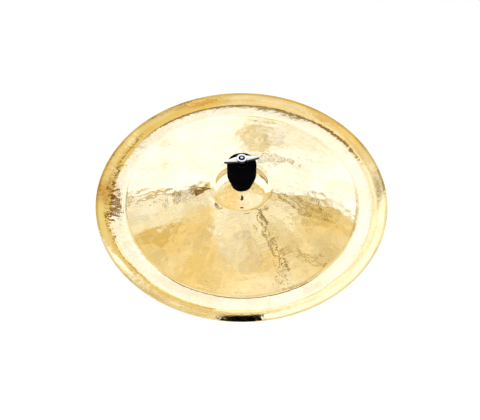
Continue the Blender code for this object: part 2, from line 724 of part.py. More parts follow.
def main():
    """Builds every piece, bottom to top."""
    for thing in list(bpy.data.objects):
        bpy.data.objects.remove(thing)
    parts = new_collection("china_cymbal")
    cutters = new_collection("cutters")

    bronze = new_material("buffed_bronze", (0.80, 0.58, 0.27), 0.16, 1.0)
    felt = new_material("black_felt", (0.012, 0.012, 0.013), 0.95, 0.0)
    chrome = new_material("bright_chrome", (0.75, 0.75, 0.76), 0.08, 1.0)
    steel = new_material("zinc_steel", (0.55, 0.55, 0.56), 0.30, 1.0)
    cast = new_material("plated_casting", (0.62, 0.62, 0.63), 0.18, 1.0)
    nylon = new_material("black_nylon", (0.02, 0.02, 0.02), 0.45, 0.0)
    fibre = new_material("brown_fibre", (0.10, 0.05, 0.03), 0.80, 0.0)

    head_pivot = add_pivot("tilt_pivot", parts, (0, 0, PIVOT_Z))
    clamp_pivot = add_pivot("clamp_pivot", parts, (CLAMP_WASHER_X, 0, PIVOT_Z))
    rod_pivot = add_pivot("rod_pivot", parts, (0, 0, ROCK_Z), head_pivot)
    nut_pivot = add_pivot("nut_pivot", parts, (0, 0, NUT_WASHER_Z), head_pivot)

    make_stand_spigot(parts, steel)
    make_tilter_base(parts, cutters, cast)
    make_set_screw(parts, cutters, steel)
    make_clamp_nut(parts, cutters, steel)
    make_friction_discs(parts, fibre, head_pivot)
    make_tilter_head(parts, cutters, cast, head_pivot)
    clamp_washer = make_washer("clamp_washer", SHANK_BORE, parts, steel)
    place(clamp_washer, clamp_pivot, (CLAMP_WASHER_X, 0, PIVOT_Z))
    clamp_washer.rotation_euler = (0, math.pi / 2, 0)
    make_clamp_screw(parts, cutters, chrome, clamp_pivot)
    make_post_rod(parts, steel, head_pivot)
    make_jam_nut(parts, cutters, steel, head_pivot)
    make_cup_washer(parts, steel, head_pivot)
    make_sleeve(parts, nylon, rod_pivot)
    make_lower_felt(parts, felt, rod_pivot)
    make_cymbal(parts, bronze, rod_pivot)
    make_middle_felt(parts, felt, rod_pivot)
    make_upper_felt(parts, felt, rod_pivot)
    nut_washer = make_washer("nut_washer", ROD_RADIUS + BORE_CLEAR, parts, nylon)
    place(nut_washer, nut_pivot, (0, 0, NUT_WASHER_Z))
    make_wing_nut(parts, cutters, chrome, nut_pivot)


main()
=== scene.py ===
"""Dresses the china cymbal and its tilter: finer shapes, finishes, the studio and the camera.

Everything is in metres in the row frame: +Z up the rod, +X towards the tilter's wing screw,
and the origin at the centre of the stand spigot's lower end.
"""

import logging
import math
import random
from collections.abc import Sequence
from dataclasses import dataclass, field
from enum import Enum
from typing import Any

import bmesh
import bpy
from mathutils import Matrix, Vector, kdtree, noise


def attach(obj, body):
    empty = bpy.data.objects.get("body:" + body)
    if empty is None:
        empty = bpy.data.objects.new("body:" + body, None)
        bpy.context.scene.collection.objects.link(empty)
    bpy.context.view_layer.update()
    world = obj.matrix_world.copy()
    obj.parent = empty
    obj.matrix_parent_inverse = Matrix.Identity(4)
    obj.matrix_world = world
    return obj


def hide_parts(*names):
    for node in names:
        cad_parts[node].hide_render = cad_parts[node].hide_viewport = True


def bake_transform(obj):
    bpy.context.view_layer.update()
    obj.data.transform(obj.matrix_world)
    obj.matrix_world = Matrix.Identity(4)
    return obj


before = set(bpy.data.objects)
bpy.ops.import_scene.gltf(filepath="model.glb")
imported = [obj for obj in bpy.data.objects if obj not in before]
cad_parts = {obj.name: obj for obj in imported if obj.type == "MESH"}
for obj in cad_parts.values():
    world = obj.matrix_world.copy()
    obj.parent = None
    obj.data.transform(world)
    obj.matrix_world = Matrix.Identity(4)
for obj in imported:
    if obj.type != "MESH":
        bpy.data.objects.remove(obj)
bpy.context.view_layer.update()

LOG = logging.getLogger("china_cymbal")
MM = 0.001
FULL_TURN = 2 * math.pi
RIM_CENTRE = (0, 0, 0.1001)
FLAT = (1, 1, 0)

Point = tuple[float, float]
Section = Sequence[Point]
Colour = tuple[float, float, float, float]
Shape = bmesh.types.BMesh
Thing = bpy.types.Object
Material = bpy.types.Material
Socket = bpy.types.NodeSocket


class Body(Enum):
    """The bodies of the frame that new pieces ride on."""

    BASE = "tilter_base"
    HEAD = "tilter_head"
    CLAMP_WASHER = "clamp_washer"
    CLAMP_SCREW = "clamp_screw"
    FELTS = "felts"
    CYMBAL = "cymbal"
    NUT_WASHER = "nut_washer"
    WING_NUT = "wing_nut"


class Slot(Enum):
    """The record's material slots."""

    BRONZE = "bronze"
    FELT = "felt"
    CHROME = "chrome"
    ZINC_STEEL = "zinc_steel"
    CASTING = "plated_casting"
    NYLON = "nylon"
    FIBRE = "fibre"


class Axis(Enum):
    """How a shape that was made standing on +Z is laid in the frame."""

    UP = Matrix.Identity(4)
    RIGHT = Matrix.Rotation(math.pi / 2, 4, "Y")


def linear(code: str) -> Colour:
    """Turns an sRGB hex colour, as #RRGGBB, to linear red, green, blue and an alpha of 1."""
    shares = [int(code[k : k + 2], 16) / 255 for k in (1, 3, 5)]
    red, green, blue = (s / 12.92 if s <= 0.04045 else ((s + 0.055) / 1.055) ** 2.4 for s in shares)
    return red, green, blue, 1.0


def add_node(
    tree: bpy.types.NodeTree,
    kind: str,
    settings: dict[str, Any] | None = None,
    inputs: dict[str | int, Any] | None = None,
) -> bpy.types.Node:
    """Adds a node with its settings and its inputs.

    Args:
        tree: The node tree.
        kind: The node's type, without ShaderNode.
        settings: Properties of the node.
        inputs: By input name or number, a socket to link from or a value.

    Returns:
        The node.
    """
    node = tree.nodes.new("ShaderNode" + kind)
    for name, value in (settings or {}).items():
        setattr(node, name, value)
    for key, value in (inputs or {}).items():
        if isinstance(value, Socket):
            tree.links.new(value, node.inputs[key])
        else:
            node.inputs[key].default_value = value
    return node


@dataclass
class Graph:
    """A shader node tree, with the small sums that finishes and studio are built from."""

    tree: bpy.types.NodeTree

    def math(self, operation: str, *terms: Socket | float) -> Socket:
        """Works out a sum of values."""
        return add_node(self.tree, "Math", {"operation": operation}, dict(enumerate(terms))).outputs["Value"]

    def vector(self, operation: str, *terms: Socket | Sequence[float]) -> Socket:
        """Works out a sum of vectors, or how long or far apart they are."""
        node = add_node(self.tree, "VectorMath", {"operation": operation}, dict(enumerate(terms)))
        return node.outputs["Value" if operation in ("LENGTH", "DISTANCE") else "Vector"]

    def split(self, vector: Socket) -> bpy.types.NodeOutputs:
        """The X, Y and Z of a vector."""
        return add_node(self.tree, "SeparateXYZ", None, {"Vector": vector}).outputs

    def remap(
        self,
        value: Socket,
        start: float,
        end: float,
        low: float = 0.0,
        high: float = 1.0,
        ease: str = "LINEAR",
    ) -> Socket:
        """Takes one span of values to another.

        Args:
            value: The value.
            start: Where the first span starts.
            end: Where it ends.
            low: What the start becomes.
            high: What the end becomes.
            ease: How the values run between them.

        Returns:
            The new value.
        """
        span = {"Value": value, "From Min": start, "From Max": end, "To Min": low, "To Max": high}
        return add_node(self.tree, "MapRange", {"interpolation_type": ease}, span).outputs["Result"]

    def noise(
        self,
        where: Socket,
        scale: float,
        detail: float = 2.0,
        roughness: float = 0.5,
        distortion: float = 0.0,
    ) -> bpy.types.NodeOutputs:
        """Makes a cloudy pattern.

        Args:
            where: The coordinates.
            scale: How many clouds there are to a metre.
            detail: How many finer layers it has.
            roughness: How strong these are.
            distortion: How far it is twisted.

        Returns:
            Its Fac and its Color.
        """
        shape = {"Scale": scale, "Detail": detail, "Roughness": roughness, "Distortion": distortion}
        return add_node(self.tree, "TexNoise", None, {"Vector": where, **shape}).outputs

    def mix(
        self, share: Socket | float, first: Socket | Colour, second: Socket | Colour, blend: str = "MIX"
    ) -> Socket:
        """Mixes two colours.

        Args:
            share: How much of the second one shows.
            first: The first colour.
            second: The second colour.
            blend: How they mix.

        Returns:
            The mixed colour.
        """
        settings = {"data_type": "RGBA", "blend_type": blend}
        inputs = {"Factor": share, "A": first, "B": second}
        return add_node(self.tree, "Mix", settings, inputs).outputs["Result"]

    def ramp(self, value: Socket, stops: Sequence[tuple[float, Colour]]) -> Socket:
        """Turns a value to colour.

        Args:
            value: The value, from 0 to 1.
            stops: The colours, each with its place.

        Returns:
            The colour.
        """
        node = add_node(self.tree, "ValToRGB", None, {"Fac": value})
        marks = node.color_ramp.elements
        while len(marks) < len(stops):
            marks.new(0.5)
        for mark, (position, colour) in zip(marks, stops):
            mark.position = position
            mark.color = colour
        return node.outputs["Color"]

    def emit(self, colour: Socket | Colour, strength: float) -> None:
        """Lets the material glow and do nothing else."""
        lit = add_node(self.tree, "Emission", None, {"Color": colour, "Strength": strength})
        add_node(self.tree, "OutputMaterial", None, {"Surface": lit.outputs["Emission"]})


@dataclass
class Coat(Graph):
    """The node tree of a finish, with its Principled shader and its Object coordinates."""

    shader: bpy.types.Node
    where: Socket
    base: Colour
    roughness: float

    def plug(self, name: str, value: Socket) -> None:
        """Links a value to an input of the shader."""
        self.tree.links.new(value, self.shader.inputs[name])

    def stretched(self, scale: Sequence[float]) -> Socket:
        """The coordinates, scaled by another amount on each axis."""
        return add_node(self.tree, "Mapping", None, {"Vector": self.where, "Scale": scale}).outputs["Vector"]

    def blotches(
        self,
        grain: float,
        low: float = 0.0,
        high: float = 1.0,
        detail: float = 3.0,
        where: Socket | None = None,
    ) -> Socket:
        """Makes a soft mottling.

        Args:
            grain: Size of a blotch, in metres.
            low: Value in the darkest blotches.
            high: Value in the lightest.
            detail: How many finer layers it has.
            where: The coordinates, if they aren't the plain ones.

        Returns:
            A value between low and high.
        """
        cloud = self.noise(self.where if where is None else where, 1 / grain, detail)
        return self.remap(cloud["Fac"], 0.3, 0.7, low, high)

    def tint(self, share: Socket, other: str) -> None:
        """Lets another colour show in a share of the surface."""
        self.plug("Base Color", self.mix(share, self.base, linear(other)))

    def cloud(self, grain: float, less: float, more: float) -> None:
        """Spreads the roughness from less to more than its plain value, in blotches of a size."""
        self.plug("Roughness", self.blotches(grain, self.roughness - less, self.roughness + more))

    def relief(self, height: Socket, depth: float) -> None:
        """Lets a pattern from 0 to 1 bend the shader's normal, as if it were so many metres deep."""
        bump = add_node(self.tree, "Bump", None, {"Strength": 1.0, "Distance": depth, "Height": height})
        self.plug("Normal", bump.outputs["Normal"])


@dataclass(frozen=True)
class Finish:
    """What all finishes share: a Principled shader on Object coordinates."""

    name: str
    colour: str
    roughness: float
    metallic: float = 1.0
    extras: tuple[tuple[str, Any], ...] = ()

    def build(self) -> Material:
        """Makes the material with its plain values, and has them worked over."""
        material = bpy.data.materials.new(self.name)
        material.use_nodes = True
        tree = material.node_tree
        shader = tree.nodes["Principled BSDF"]
        base = linear(self.colour)
        plain = (("Base Color", base), ("Roughness", self.roughness), ("Metallic", self.metallic))
        for name, value in (*plain, *self.extras):
            shader.inputs[name].default_value = value
        where = add_node(tree, "TexCoord").outputs["Object"]
        self.work(Coat(tree, shader, where, base, self.roughness))
        return material

    def work(self, coat: Coat) -> None:
        """Breaks up the plain values. Each finish does this in its own way."""
        raise NotImplementedError


@dataclass(frozen=True)
class BuffedBronze(Finish):
    """Bell bronze of 20 % tin, hammered, lathed and buffed bright, which gives a pale gold mirror
    that breaks up into ragged patches and fine rings, with painted reflection as darker rings near the rim."""

    name: str = "buffed_bell_bronze"
    colour: str = "#F1DCA6"
    roughness: float = 0.05
    deep: str = "#E9C984"
    patch: float = 34 * MM
    left_rim_gold: str = "#C2924A"
    left_rim_spot: Vector = field(default_factory=lambda: Vector((-0.194, 0.004, 0)))
    left_rim_reach: float = 30 * MM  # a darker gold spot at the rim's far left
    lathe_pitch: float = 2.6 * MM  # the real tool marks are about 0.5 mm apart, too fine to show
    lathe_share: float = 0.03
    # painted reflection: the rings near the rim that the gold is multiplied darker by
    bands: tuple[tuple[float, str], ...] = (
        (181.5 * MM, "#FFFFFF"),
        (183.5 * MM, "#F6E9C6"),
        (185.5 * MM, "#FCF4DE"),
        (191.5 * MM, "#F9EED2"),
        (193.5 * MM, "#FFFBF0"),
        (199.0 * MM, "#FFFAEC"),
        (200.5 * MM, "#E4DAB8"),
        (202.5 * MM, "#DACFA8"),
        (203.2 * MM, "#EEE4C0"),
    )
    ripple: float = 5.5 * MM  # what the buffing wheel leaves between the hammer blows
    ripple_depth: float = 0.1 * MM

    def work(self, coat: Coat) -> None:
        """Blotches the gold, paints darker rings near the rim as painted reflection, darkens a spot at the
        rim's far left, and adds lathe rings and a ripple.
        """
        gold = coat.mix(coat.blotches(self.patch, high=0.55), coat.base, linear(self.deep))
        coat.cloud(21 * MM, 0.02, 0.04)
        flat = coat.vector("MULTIPLY", coat.where, FLAT)
        # a mottled darker gold spot at the rim's far left
        away = coat.vector("DISTANCE", flat, self.left_rim_spot)
        near = coat.remap(away, self.left_rim_reach, 0.2 * self.left_rim_reach, ease="SMOOTHSTEP")
        left_rim_share = coat.math("MULTIPLY", near, coat.blotches(6 * MM, 0.35))
        reach = coat.vector("LENGTH", flat)
        rings = coat.math("SINE", coat.math("MULTIPLY", reach, FULL_TURN / self.lathe_pitch))
        first, last = self.bands[0][0], self.bands[-1][0]
        stops = [((radius - first) / (last - first), linear(shade)) for radius, shade in self.bands]
        # painted reflection: the gold is darkened in rings near the rim
        gold_with_painted_rings = coat.mix(1.0, gold, coat.ramp(coat.remap(reach, first, last), stops), "MULTIPLY")
        coat.plug("Base Color", coat.mix(left_rim_share, gold_with_painted_rings, linear(self.left_rim_gold)))
        ripples = coat.noise(coat.where, 1 / self.ripple, 1.5, 0.4)
        coat.relief(coat.math("MULTIPLY_ADD", rings, self.lathe_share, ripples["Fac"]), self.ripple_depth)


@dataclass(frozen=True)
class PressedFelt(Finish):
    """Black pressed wool felt, cut to rings: a soft, nearly lightless black with stray fibres."""

    name: str = "black_pressed_wool_felt"
    colour: str = "#020204"
    roughness: float = 1.0
    metallic: float = 0.0
    extras: tuple[tuple[str, Any], ...] = (
        ("Specular IOR Level", 0.03),
        ("Sheen Weight", 0.015),
        ("Sheen Roughness", 0.5),
        ("Sheen Tint", linear("#3A3A4A")),
    )
    lint: str = "#08080D"
    fibre: float = 0.9 * MM
    layers: tuple[float, float, float] = (1.0, 1.0, 2.4)

    def work(self, coat: Coat) -> None:
        """Mats the fibres and lets stray ones show."""
        matted = coat.noise(coat.stretched(self.layers), 1 / self.fibre, 4.0, 0.7, 1.2)["Fac"]
        coat.tint(coat.remap(matted, 0.5, 0.8), self.lint)
        coat.relief(matted, 0.5 * MM)


@dataclass(frozen=True)
class BrightChrome(Finish):
    """Chrome plate over a zinc casting: a cool mirror on the faces across the screw's axis, with a
    painted dark reflection on the flanks that look sideways from it."""

    name: str = "bright_chrome_plate"
    colour: str = "#EDE8DC"
    roughness: float = 0.07
    # painted reflection: the dark that faces looking sideways from the axis are tinted with
    painted_dark_flank: str = "#3A3A35"
    axis: str = "Z"

    def work(self, coat: Coat) -> None:
        """Clouds the mirror a little where fingers hold it, and paints the flanks dark as painted
        reflection.
        """
        coat.cloud(6 * MM, 0.02, 0.06)
        normal = add_node(coat.tree, "TexCoord").outputs["Normal"]
        across = coat.math("ABSOLUTE", coat.split(normal)[self.axis])
        # painted reflection: faces looking sideways from the axis are tinted dark
        coat.tint(coat.remap(across, 0.86, 0.6), self.painted_dark_flank)
        coat.relief(coat.blotches(2.5 * MM, detail=1.0), 0.012 * MM)


@dataclass(frozen=True)
class ThreadedSteel(Finish):
    """A zinc-plated threaded rod, cut off bright, whose thread is painted black as painted shade in its
    grooves.
    """

    name: str = "threaded_steel_painted_shade"
    colour: str = "#D9DBDD"
    roughness: float = 0.28
    # painted shade: the black that the thread is painted with
    painted_thread_shade: str = "#0C0C0D"
    bright_radius: float = 1.75 * MM

    def work(self, coat: Coat) -> None:
        """Keeps the middle of the cut end its plain colour and paints the thread black as painted shade."""
        reach = coat.vector("LENGTH", coat.vector("MULTIPLY", coat.where, FLAT))
        # painted shade: the thread outside the cut end's middle is painted black
        coat.tint(coat.remap(reach, self.bright_radius, self.bright_radius + 0.15 * MM), self.painted_thread_shade)
        coat.cloud(1.5 * MM, 0.06, 0.14)
        coat.relief(coat.blotches(0.5 * MM), 0.01 * MM)


@dataclass(frozen=True)
class VulcanisedFibre(Finish):
    """Vulcanised fibre, punched from sheet: red-brown, matt and faintly streaked."""

    name: str = "vulcanised_fibre"
    colour: str = "#6E3420"
    roughness: float = 0.75
    metallic: float = 0.0
    streak: str = "#8A4A2E"

    def work(self, coat: Coat) -> None:
        """Streaks the pulp along the sheet."""
        pulp = coat.blotches(0.8 * MM, detail=4.0, where=coat.stretched((1.0, 1.0, 0.2)))
        coat.tint(pulp, self.streak)
        coat.relief(pulp, 0.04 * MM)


@dataclass(frozen=True, kw_only=True)
class Mottled(Finish):
    """A finish that is blotched, dulled and roughened evenly all over."""

    blotch: tuple[float, float, str]  # size, share and colour
    bloom: tuple[float, float, float]  # size, less and more roughness
    skin: tuple[float, float, float]  # size, finer layers and depth

    def work(self, coat: Coat) -> None:
        """Lays the three patterns."""
        grain, share, other = self.blotch
        coat.tint(coat.blotches(grain, high=share), other)
        coat.cloud(*self.bloom)
        grain, layers, depth = self.skin
        coat.relief(coat.blotches(grain, detail=layers), depth)


# Bright zinc plate on turned steel gives a bluish grey with tool marks and a dull bloom
ZINC_PLATE = Mottled(
    "zinc_plated_steel",
    "#C6CACF",
    0.3,
    blotch=(7 * MM, 0.7, "#A9A79B"),
    bloom=(3 * MM, 0.06, 0.1),
    skin=(0.6 * MM, 3.0, 0.008 * MM),
)
# Nickel-chrome plate straight on a zinc die casting is bright, with the casting's orange peel
PLATED_CASTING = Mottled(
    "plated_zinc_casting",
    "#D8D8D6",
    0.16,
    blotch=(11 * MM, 0.6, "#BEBDB8"),
    bloom=(5 * MM, 0.04, 0.1),
    skin=(1.6 * MM, 2.0, 0.02 * MM),
)
# Black nylon, injection moulded, is half dull and dark, with rub marks from the rod and the felts
MOULDED_NYLON = Mottled(
    "black_moulded_nylon",
    "#0A0A0B",
    0.42,
    0.0,
    (("IOR", 1.53), ("Specular IOR Level", 0.15)),
    blotch=(4 * MM, 0.6, "#141415"),
    bloom=(2 * MM, 0.08, 0.15),
    skin=(0.7 * MM, 3.0, 0.02 * MM),
)


def arc(start: Point, end: Point, sag: float, count: int) -> list[Point]:
    """Points on a circular arc between two points.

    Args:
        start: The first point.
        end: The last point.
        sag: How far the arc bulges to the left of its way; negative for the right.
        count: How many steps it has.

    Returns:
        count + 1 points.
    """
    first, last = Vector(start), Vector(end)
    along = (last - first).normalized()
    chord = (last - first).length
    radius = (chord * chord / 4 + sag * sag) / (2 * abs(sag))
    half = math.asin(min(1.0, chord / (2 * radius)))
    left = Vector((-along.y, along.x)) * math.copysign(1.0, sag)
    centre = (first + last) / 2 - left * (radius - abs(sag))
    points = []
    for k in range(count + 1):
        angle = half * (2 * k / count - 1)
        place = centre + radius * (left * math.cos(angle) + along * math.sin(angle))
        points.append((place.x, place.y))
    return points


def blended(first: list[Point], second: list[Point], reach: float, count: int) -> list[Point]:
    """Joins two runs of points at their shared corner with a smooth curve.

    Args:
        first: The run that ends at the corner.
        second: The run that starts there.
        reach: How far from the corner the curve starts and ends.
        count: How many steps the curve has.

    Returns:
        The joined run.
    """
    corner = Vector(first[-1])
    before = [p for p in first if (Vector(p) - corner).length > reach]
    after = [p for p in second if (Vector(p) - corner).length > reach]
    enter = corner + (Vector(before[-1]) - corner).normalized() * reach
    leave = corner + (Vector(after[0]) - corner).normalized() * reach
    curve = []
    for k in range(count + 1):
        t = k / count
        place = enter * (1 - t) ** 2 + corner * 2 * t * (1 - t) + leave * t * t
        curve.append((place.x, place.y))
    return before + curve + after


def height_at(run: Section, radius: float) -> float:
    """The height of a run of points at a radius, straight between its points."""
    for (r0, z0), (r1, z1) in zip(run, run[1:]):
        if r0 <= radius <= r1:
            return z0 + (z1 - z0) * (radius - r0) / max(r1 - r0, 1e-9)
    return run[0][1] if radius < run[0][0] else run[-1][1]


def spun(section: Section, steps: int, closed: bool = True) -> Shape:
    """Turns a section once round the Z axis.

    Args:
        section: Points as (radius, height).
        steps: How many steps the turn has.
        closed: Whether the last point joins the first.

    Returns:
        The turned shape, closed and with its faces outwards.
    """
    work = bmesh.new()
    points = [work.verts.new((radius, 0.0, height)) for radius, height in section]
    pairs = list(zip(points, points[1:]))
    if closed:
        pairs.append((points[-1], points[0]))
    lines = [work.edges.new(pair) for pair in pairs]
    turn = {"cent": (0, 0, 0), "axis": (0, 0, 1), "angle": FULL_TURN, "steps": steps, "use_merge": True}
    bmesh.ops.spin(work, geom=points + lines, **turn)
    bmesh.ops.remove_doubles(work, verts=work.verts, dist=0.002 * MM)
    bmesh.ops.recalc_face_normals(work, faces=work.faces)
    return work


def threaded(radius: float, root: float, foot: float, top: float, pitch: float) -> Shape:
    """Makes a helical thread round the Z axis.

    Args:
        radius: The crest's radius.
        root: The root's radius.
        foot: Height of the thread's start.
        top: Height of its end.
        pitch: The rise in one turn.

    Returns:
        The thread, open inwards.
    """
    work = bmesh.new()
    turns = int((top - foot) / pitch) - 1
    teeth = [(root, 0.0), (radius, pitch * 0.44), (radius, pitch * 0.56), (root, pitch)]
    points = [work.verts.new((out, 0.0, foot + rise)) for out, rise in teeth]
    lines = [work.edges.new(pair) for pair in zip(points, points[1:])]
    steps = 28
    turn = {"cent": (0, 0, 0), "axis": (0, 0, 1), "dvec": (0, 0, pitch / steps)}
    bmesh.ops.spin(work, geom=points + lines, angle=FULL_TURN * turns, steps=steps * turns, **turn)
    bmesh.ops.remove_doubles(work, verts=work.verts, dist=0.005 * MM)
    bmesh.ops.recalc_face_normals(work, faces=work.faces)
    return work


def soften(work: Shape, corner: float) -> None:
    """Rounds every edge that turns by more than 28 degrees, with a bevel of two faces."""
    limit = math.radians(28.0)
    sharp = [e for e in work.edges if len(e.link_faces) == 2 and e.calc_face_angle(0.0) > limit]
    bevel = {"affect": "EDGES", "segments": 2, "profile": 0.5, "material": -1, "clamp_overlap": True}
    bmesh.ops.bevel(work, geom=sharp, offset=corner, **bevel)


def linked(name: str, work: Shape) -> Thing:
    """Puts a shape in the scene as an object, and uses it up."""
    mesh = bpy.data.meshes.new(name)
    work.to_mesh(mesh)
    work.free()
    thing = bpy.data.objects.new(name, mesh)
    bpy.context.scene.collection.objects.link(thing)
    return thing


def finished(name: str, work: Shape, material: Material, place: Matrix = Axis.UP.value) -> Thing:
    """Makes a shape an object with its place in its mesh.

    Args:
        name: The piece's name.
        work: The shape, which is used up.
        material: Its finish.
        place: Where it stands in the frame.

    Returns:
        The object, at the origin.
    """
    bmesh.ops.transform(work, matrix=place, verts=work.verts)
    piece = linked(name, work)
    piece.data.shade_smooth()
    piece.data.set_sharp_from_angle(angle=math.radians(50))
    piece.data.materials.append(material)
    return piece


def melted(guides: list[Thing], fineness: float, rounds: int) -> Shape:
    """Fuses shapes as a casting does, with soft fillets.

    Args:
        guides: The shapes, which are used up. One with a name that ends in bore is cut away.
        fineness: How fine the skin is, in metres.
        rounds: How often it is eased.

    Returns:
        The fused shape.
    """
    body = guides[0]
    for guide in guides[1:]:
        boolean = body.modifiers.new("join", "BOOLEAN")
        boolean.operation = "DIFFERENCE" if guide.name.endswith("bore") else "UNION"
        boolean.solver = "EXACT"
        boolean.object = guide
    melt = body.modifiers.new("melt", "REMESH")
    melt.mode = "VOXEL"
    melt.voxel_size = fineness
    ease = body.modifiers.new("ease", "SMOOTH")
    ease.factor = 0.5
    ease.iterations = rounds
    seen = body.evaluated_get(bpy.context.evaluated_depsgraph_get())
    work = bmesh.new()
    work.from_mesh(bpy.data.meshes.new_from_object(seen))
    for guide in guides:
        bpy.data.objects.remove(guide)
    return work


def settle(piece: Thing, body: Body, slot: Slot, *nodes: str) -> None:
    """Lets a piece ride on its body and hides the CAD nodes that it stands for.

    Args:
        piece: The new piece.
        body: The body that it rides on.
        slot: The record's slot; not used.
        nodes: The CAD nodes that it replaces.
    """
    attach(piece, body.value)
    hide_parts(*nodes)
    LOG.info("%s rides on %s for %s", piece.name, body.value, ", ".join(nodes))


def dress(node: str, material: Material) -> None:
    """Gives a CAD node that keeps its shape its finish."""
    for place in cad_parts[node].material_slots:
        place.link = "OBJECT"
        place.material = material
    LOG.info("%s keeps its shape, in %s", node, material.name)


@dataclass
class CymbalPlate:
    """The bronze: bell, bow and turned-up flange, hammered by hand."""

    rim_radius: float = 203.2 * MM
    flange_width: float = 40.8 * MM
    flange_rise: float = 9.7 * MM
    trough_width: float = 21.6 * MM
    trough_rise: float = 2.65 * MM
    trough_sag: float = 0.28 * MM
    lip_sag: float = 0.42 * MM
    lip_blend: float = 3.0 * MM
    bow_drop: float = 23.7 * MM
    bow_crown: float = 2.2 * MM
    bell_radius: float = 39.5 * MM
    bell_rise: float = 15.5 * MM
    bell_blend: float = 5.0 * MM
    crease_blend: float = 3.0 * MM
    hole_radius: float = 6.35 * MM
    hole_top: float = 129.6 * MM
    walls: tuple[float, float, float] = (1.1 * MM, 0.9 * MM, 0.7 * MM)
    cut_edge: float = 0.15 * MM
    steps: int = 480
    seed: int = 11
    first_ring: float = 12 * MM
    blow_spacing: float = 12.5 * MM
    blow_depth: float = 0.13 * MM
    blow_radii: Point = (6.5, 9.5)  # in millimetres
    blow_stray: float = 2.2  # in millimetres
    warps: tuple[tuple[float, float, float], ...] = ((15, 3.7, 0.75 * MM), (44, 9.1, 0.12 * MM))

    @property
    def crease_radius(self) -> float:
        """Where the bow meets the flange."""
        return self.rim_radius - self.flange_width

    def top(self) -> list[Point]:
        """The upper surface from the hole to the rim, as (radius, height)."""
        foot = self.hole_top - self.bell_rise
        crease = (self.crease_radius, foot - self.bow_drop)
        ball = (self.bell_radius**2 + self.bell_rise**2) / (2 * self.bell_rise)
        gap = ball - math.sqrt(ball**2 - self.hole_radius**2)
        bell = []
        for k in range(15):
            radius = self.hole_radius + (self.bell_radius - self.hole_radius) * k / 14
            drop = ball - math.sqrt(ball**2 - radius**2) - gap
            bell.append((radius, self.hole_top - drop * self.bell_rise / (self.bell_rise - gap)))
        bow = arc((self.bell_radius, foot), crease, self.bow_crown, 64)
        turn_up = (crease[0] + self.trough_width, crease[1] + self.trough_rise)
        trough = arc(crease, turn_up, -self.trough_sag, 12)
        lip = arc(turn_up, (self.rim_radius, crease[1] + self.flange_rise), -self.lip_sag, 12)
        body = blended(blended(bell, bow, self.bell_blend, 6), trough, self.crease_blend, 6)
        return blended(body, lip, self.lip_blend, 8)

    def wall(self, radius: float) -> float:
        """The plate's thickness at a radius: it thins from bell to rim."""
        bell, bow, rim = self.walls
        if radius < self.bell_radius:
            return bell + (bow - bell) * radius / self.bell_radius
        share = (radius - self.bell_radius) / (self.rim_radius - self.bell_radius)
        return bow + (rim - bow) * share

    def section(self) -> list[Point]:
        """The closed section: the upper surface out, the cut rim, the lower surface back."""
        top = self.top()
        under = []
        for k, (radius, height) in enumerate(top):
            before, after = Vector(top[max(k - 1, 0)]), Vector(top[min(k + 1, len(top) - 1)])
            along = (after - before).normalized()
            wall = self.wall(radius)
            under.append((radius + wall * along.y, height - wall * along.x))
        edge = self.cut_edge
        rim = [
            (self.rim_radius - edge, top[-1][1]),
            (self.rim_radius, top[-1][1] - edge),
            (self.rim_radius, under[-1][1] + edge),
            (self.rim_radius - edge, under[-1][1]),
        ]
        hole = [
            (self.hole_radius + edge, under[0][1]),
            (self.hole_radius, under[0][1] + edge),
            (self.hole_radius, top[0][1] - edge),
            (self.hole_radius + edge, top[0][1]),
        ]
        return top[1:-1] + rim + under[-2:0:-1] + hole

    def blows(self) -> list[tuple[Vector, float, float]]:
        """The hammer blows, ring by ring, as place, radius and depth."""
        dice = random.Random(self.seed)
        marks = []
        reach = self.first_ring
        while reach < self.rim_radius - 6 * MM:
            near_crease = abs(reach - self.crease_radius) < 5 * MM
            share = 0.45 if reach < self.bell_radius or reach > self.crease_radius else 1.0
            count = max(8, round(FULL_TURN * reach / self.blow_spacing))
            shift = dice.random()
            for k in range(0 if near_crease else count):
                angle = FULL_TURN * (k + shift + dice.uniform(-0.22, 0.22)) / count
                radius = reach + dice.uniform(-self.blow_stray, self.blow_stray) * MM
                place = Vector((radius * math.cos(angle), radius * math.sin(angle), 0))
                depth = self.blow_depth * share * dice.uniform(0.35, 1.25)
                marks.append((place, dice.uniform(*self.blow_radii) * MM, depth))
            reach += self.blow_spacing * 0.9
        return marks

    def hammer(self, work: Shape) -> None:
        """Sinks the blows into the sheet and lets it warp a little between them."""
        marks = self.blows()
        tree = kdtree.KDTree(len(marks))
        for k, (place, _, _) in enumerate(marks):
            tree.insert(place, k)
        tree.balance()
        for vertex in work.verts:
            flat = Vector((vertex.co.x, vertex.co.y, 0))
            sink = 0.0
            for _, k, gap in tree.find_range(flat, self.blow_radii[1] * MM):
                _, radius, depth = marks[k]
                if gap < radius:
                    sink += depth * (1 - (gap / radius) ** 2) ** 2
            reach = flat.length
            loose = min(1.0, max(0.25, (reach - 20 * MM) / (24 * MM)))
            loose *= min(1.0, max(0.0, (self.rim_radius - 1 * MM - reach) / (12 * MM)))
            warp = 0.0
            for scale, layer, height in self.warps:
                warp += noise.noise(Vector((flat.x * scale, flat.y * scale, layer))) * height
            vertex.co.z += (warp - sink) * loose

    def build(self, bronze: Material) -> None:
        """Makes the plate and lets it ride on its own body."""
        work = spun(self.section(), self.steps)
        self.hammer(work)
        settle(finished("hammered_plate", work, bronze), Body.CYMBAL, Slot.BRONZE, "cymbal")


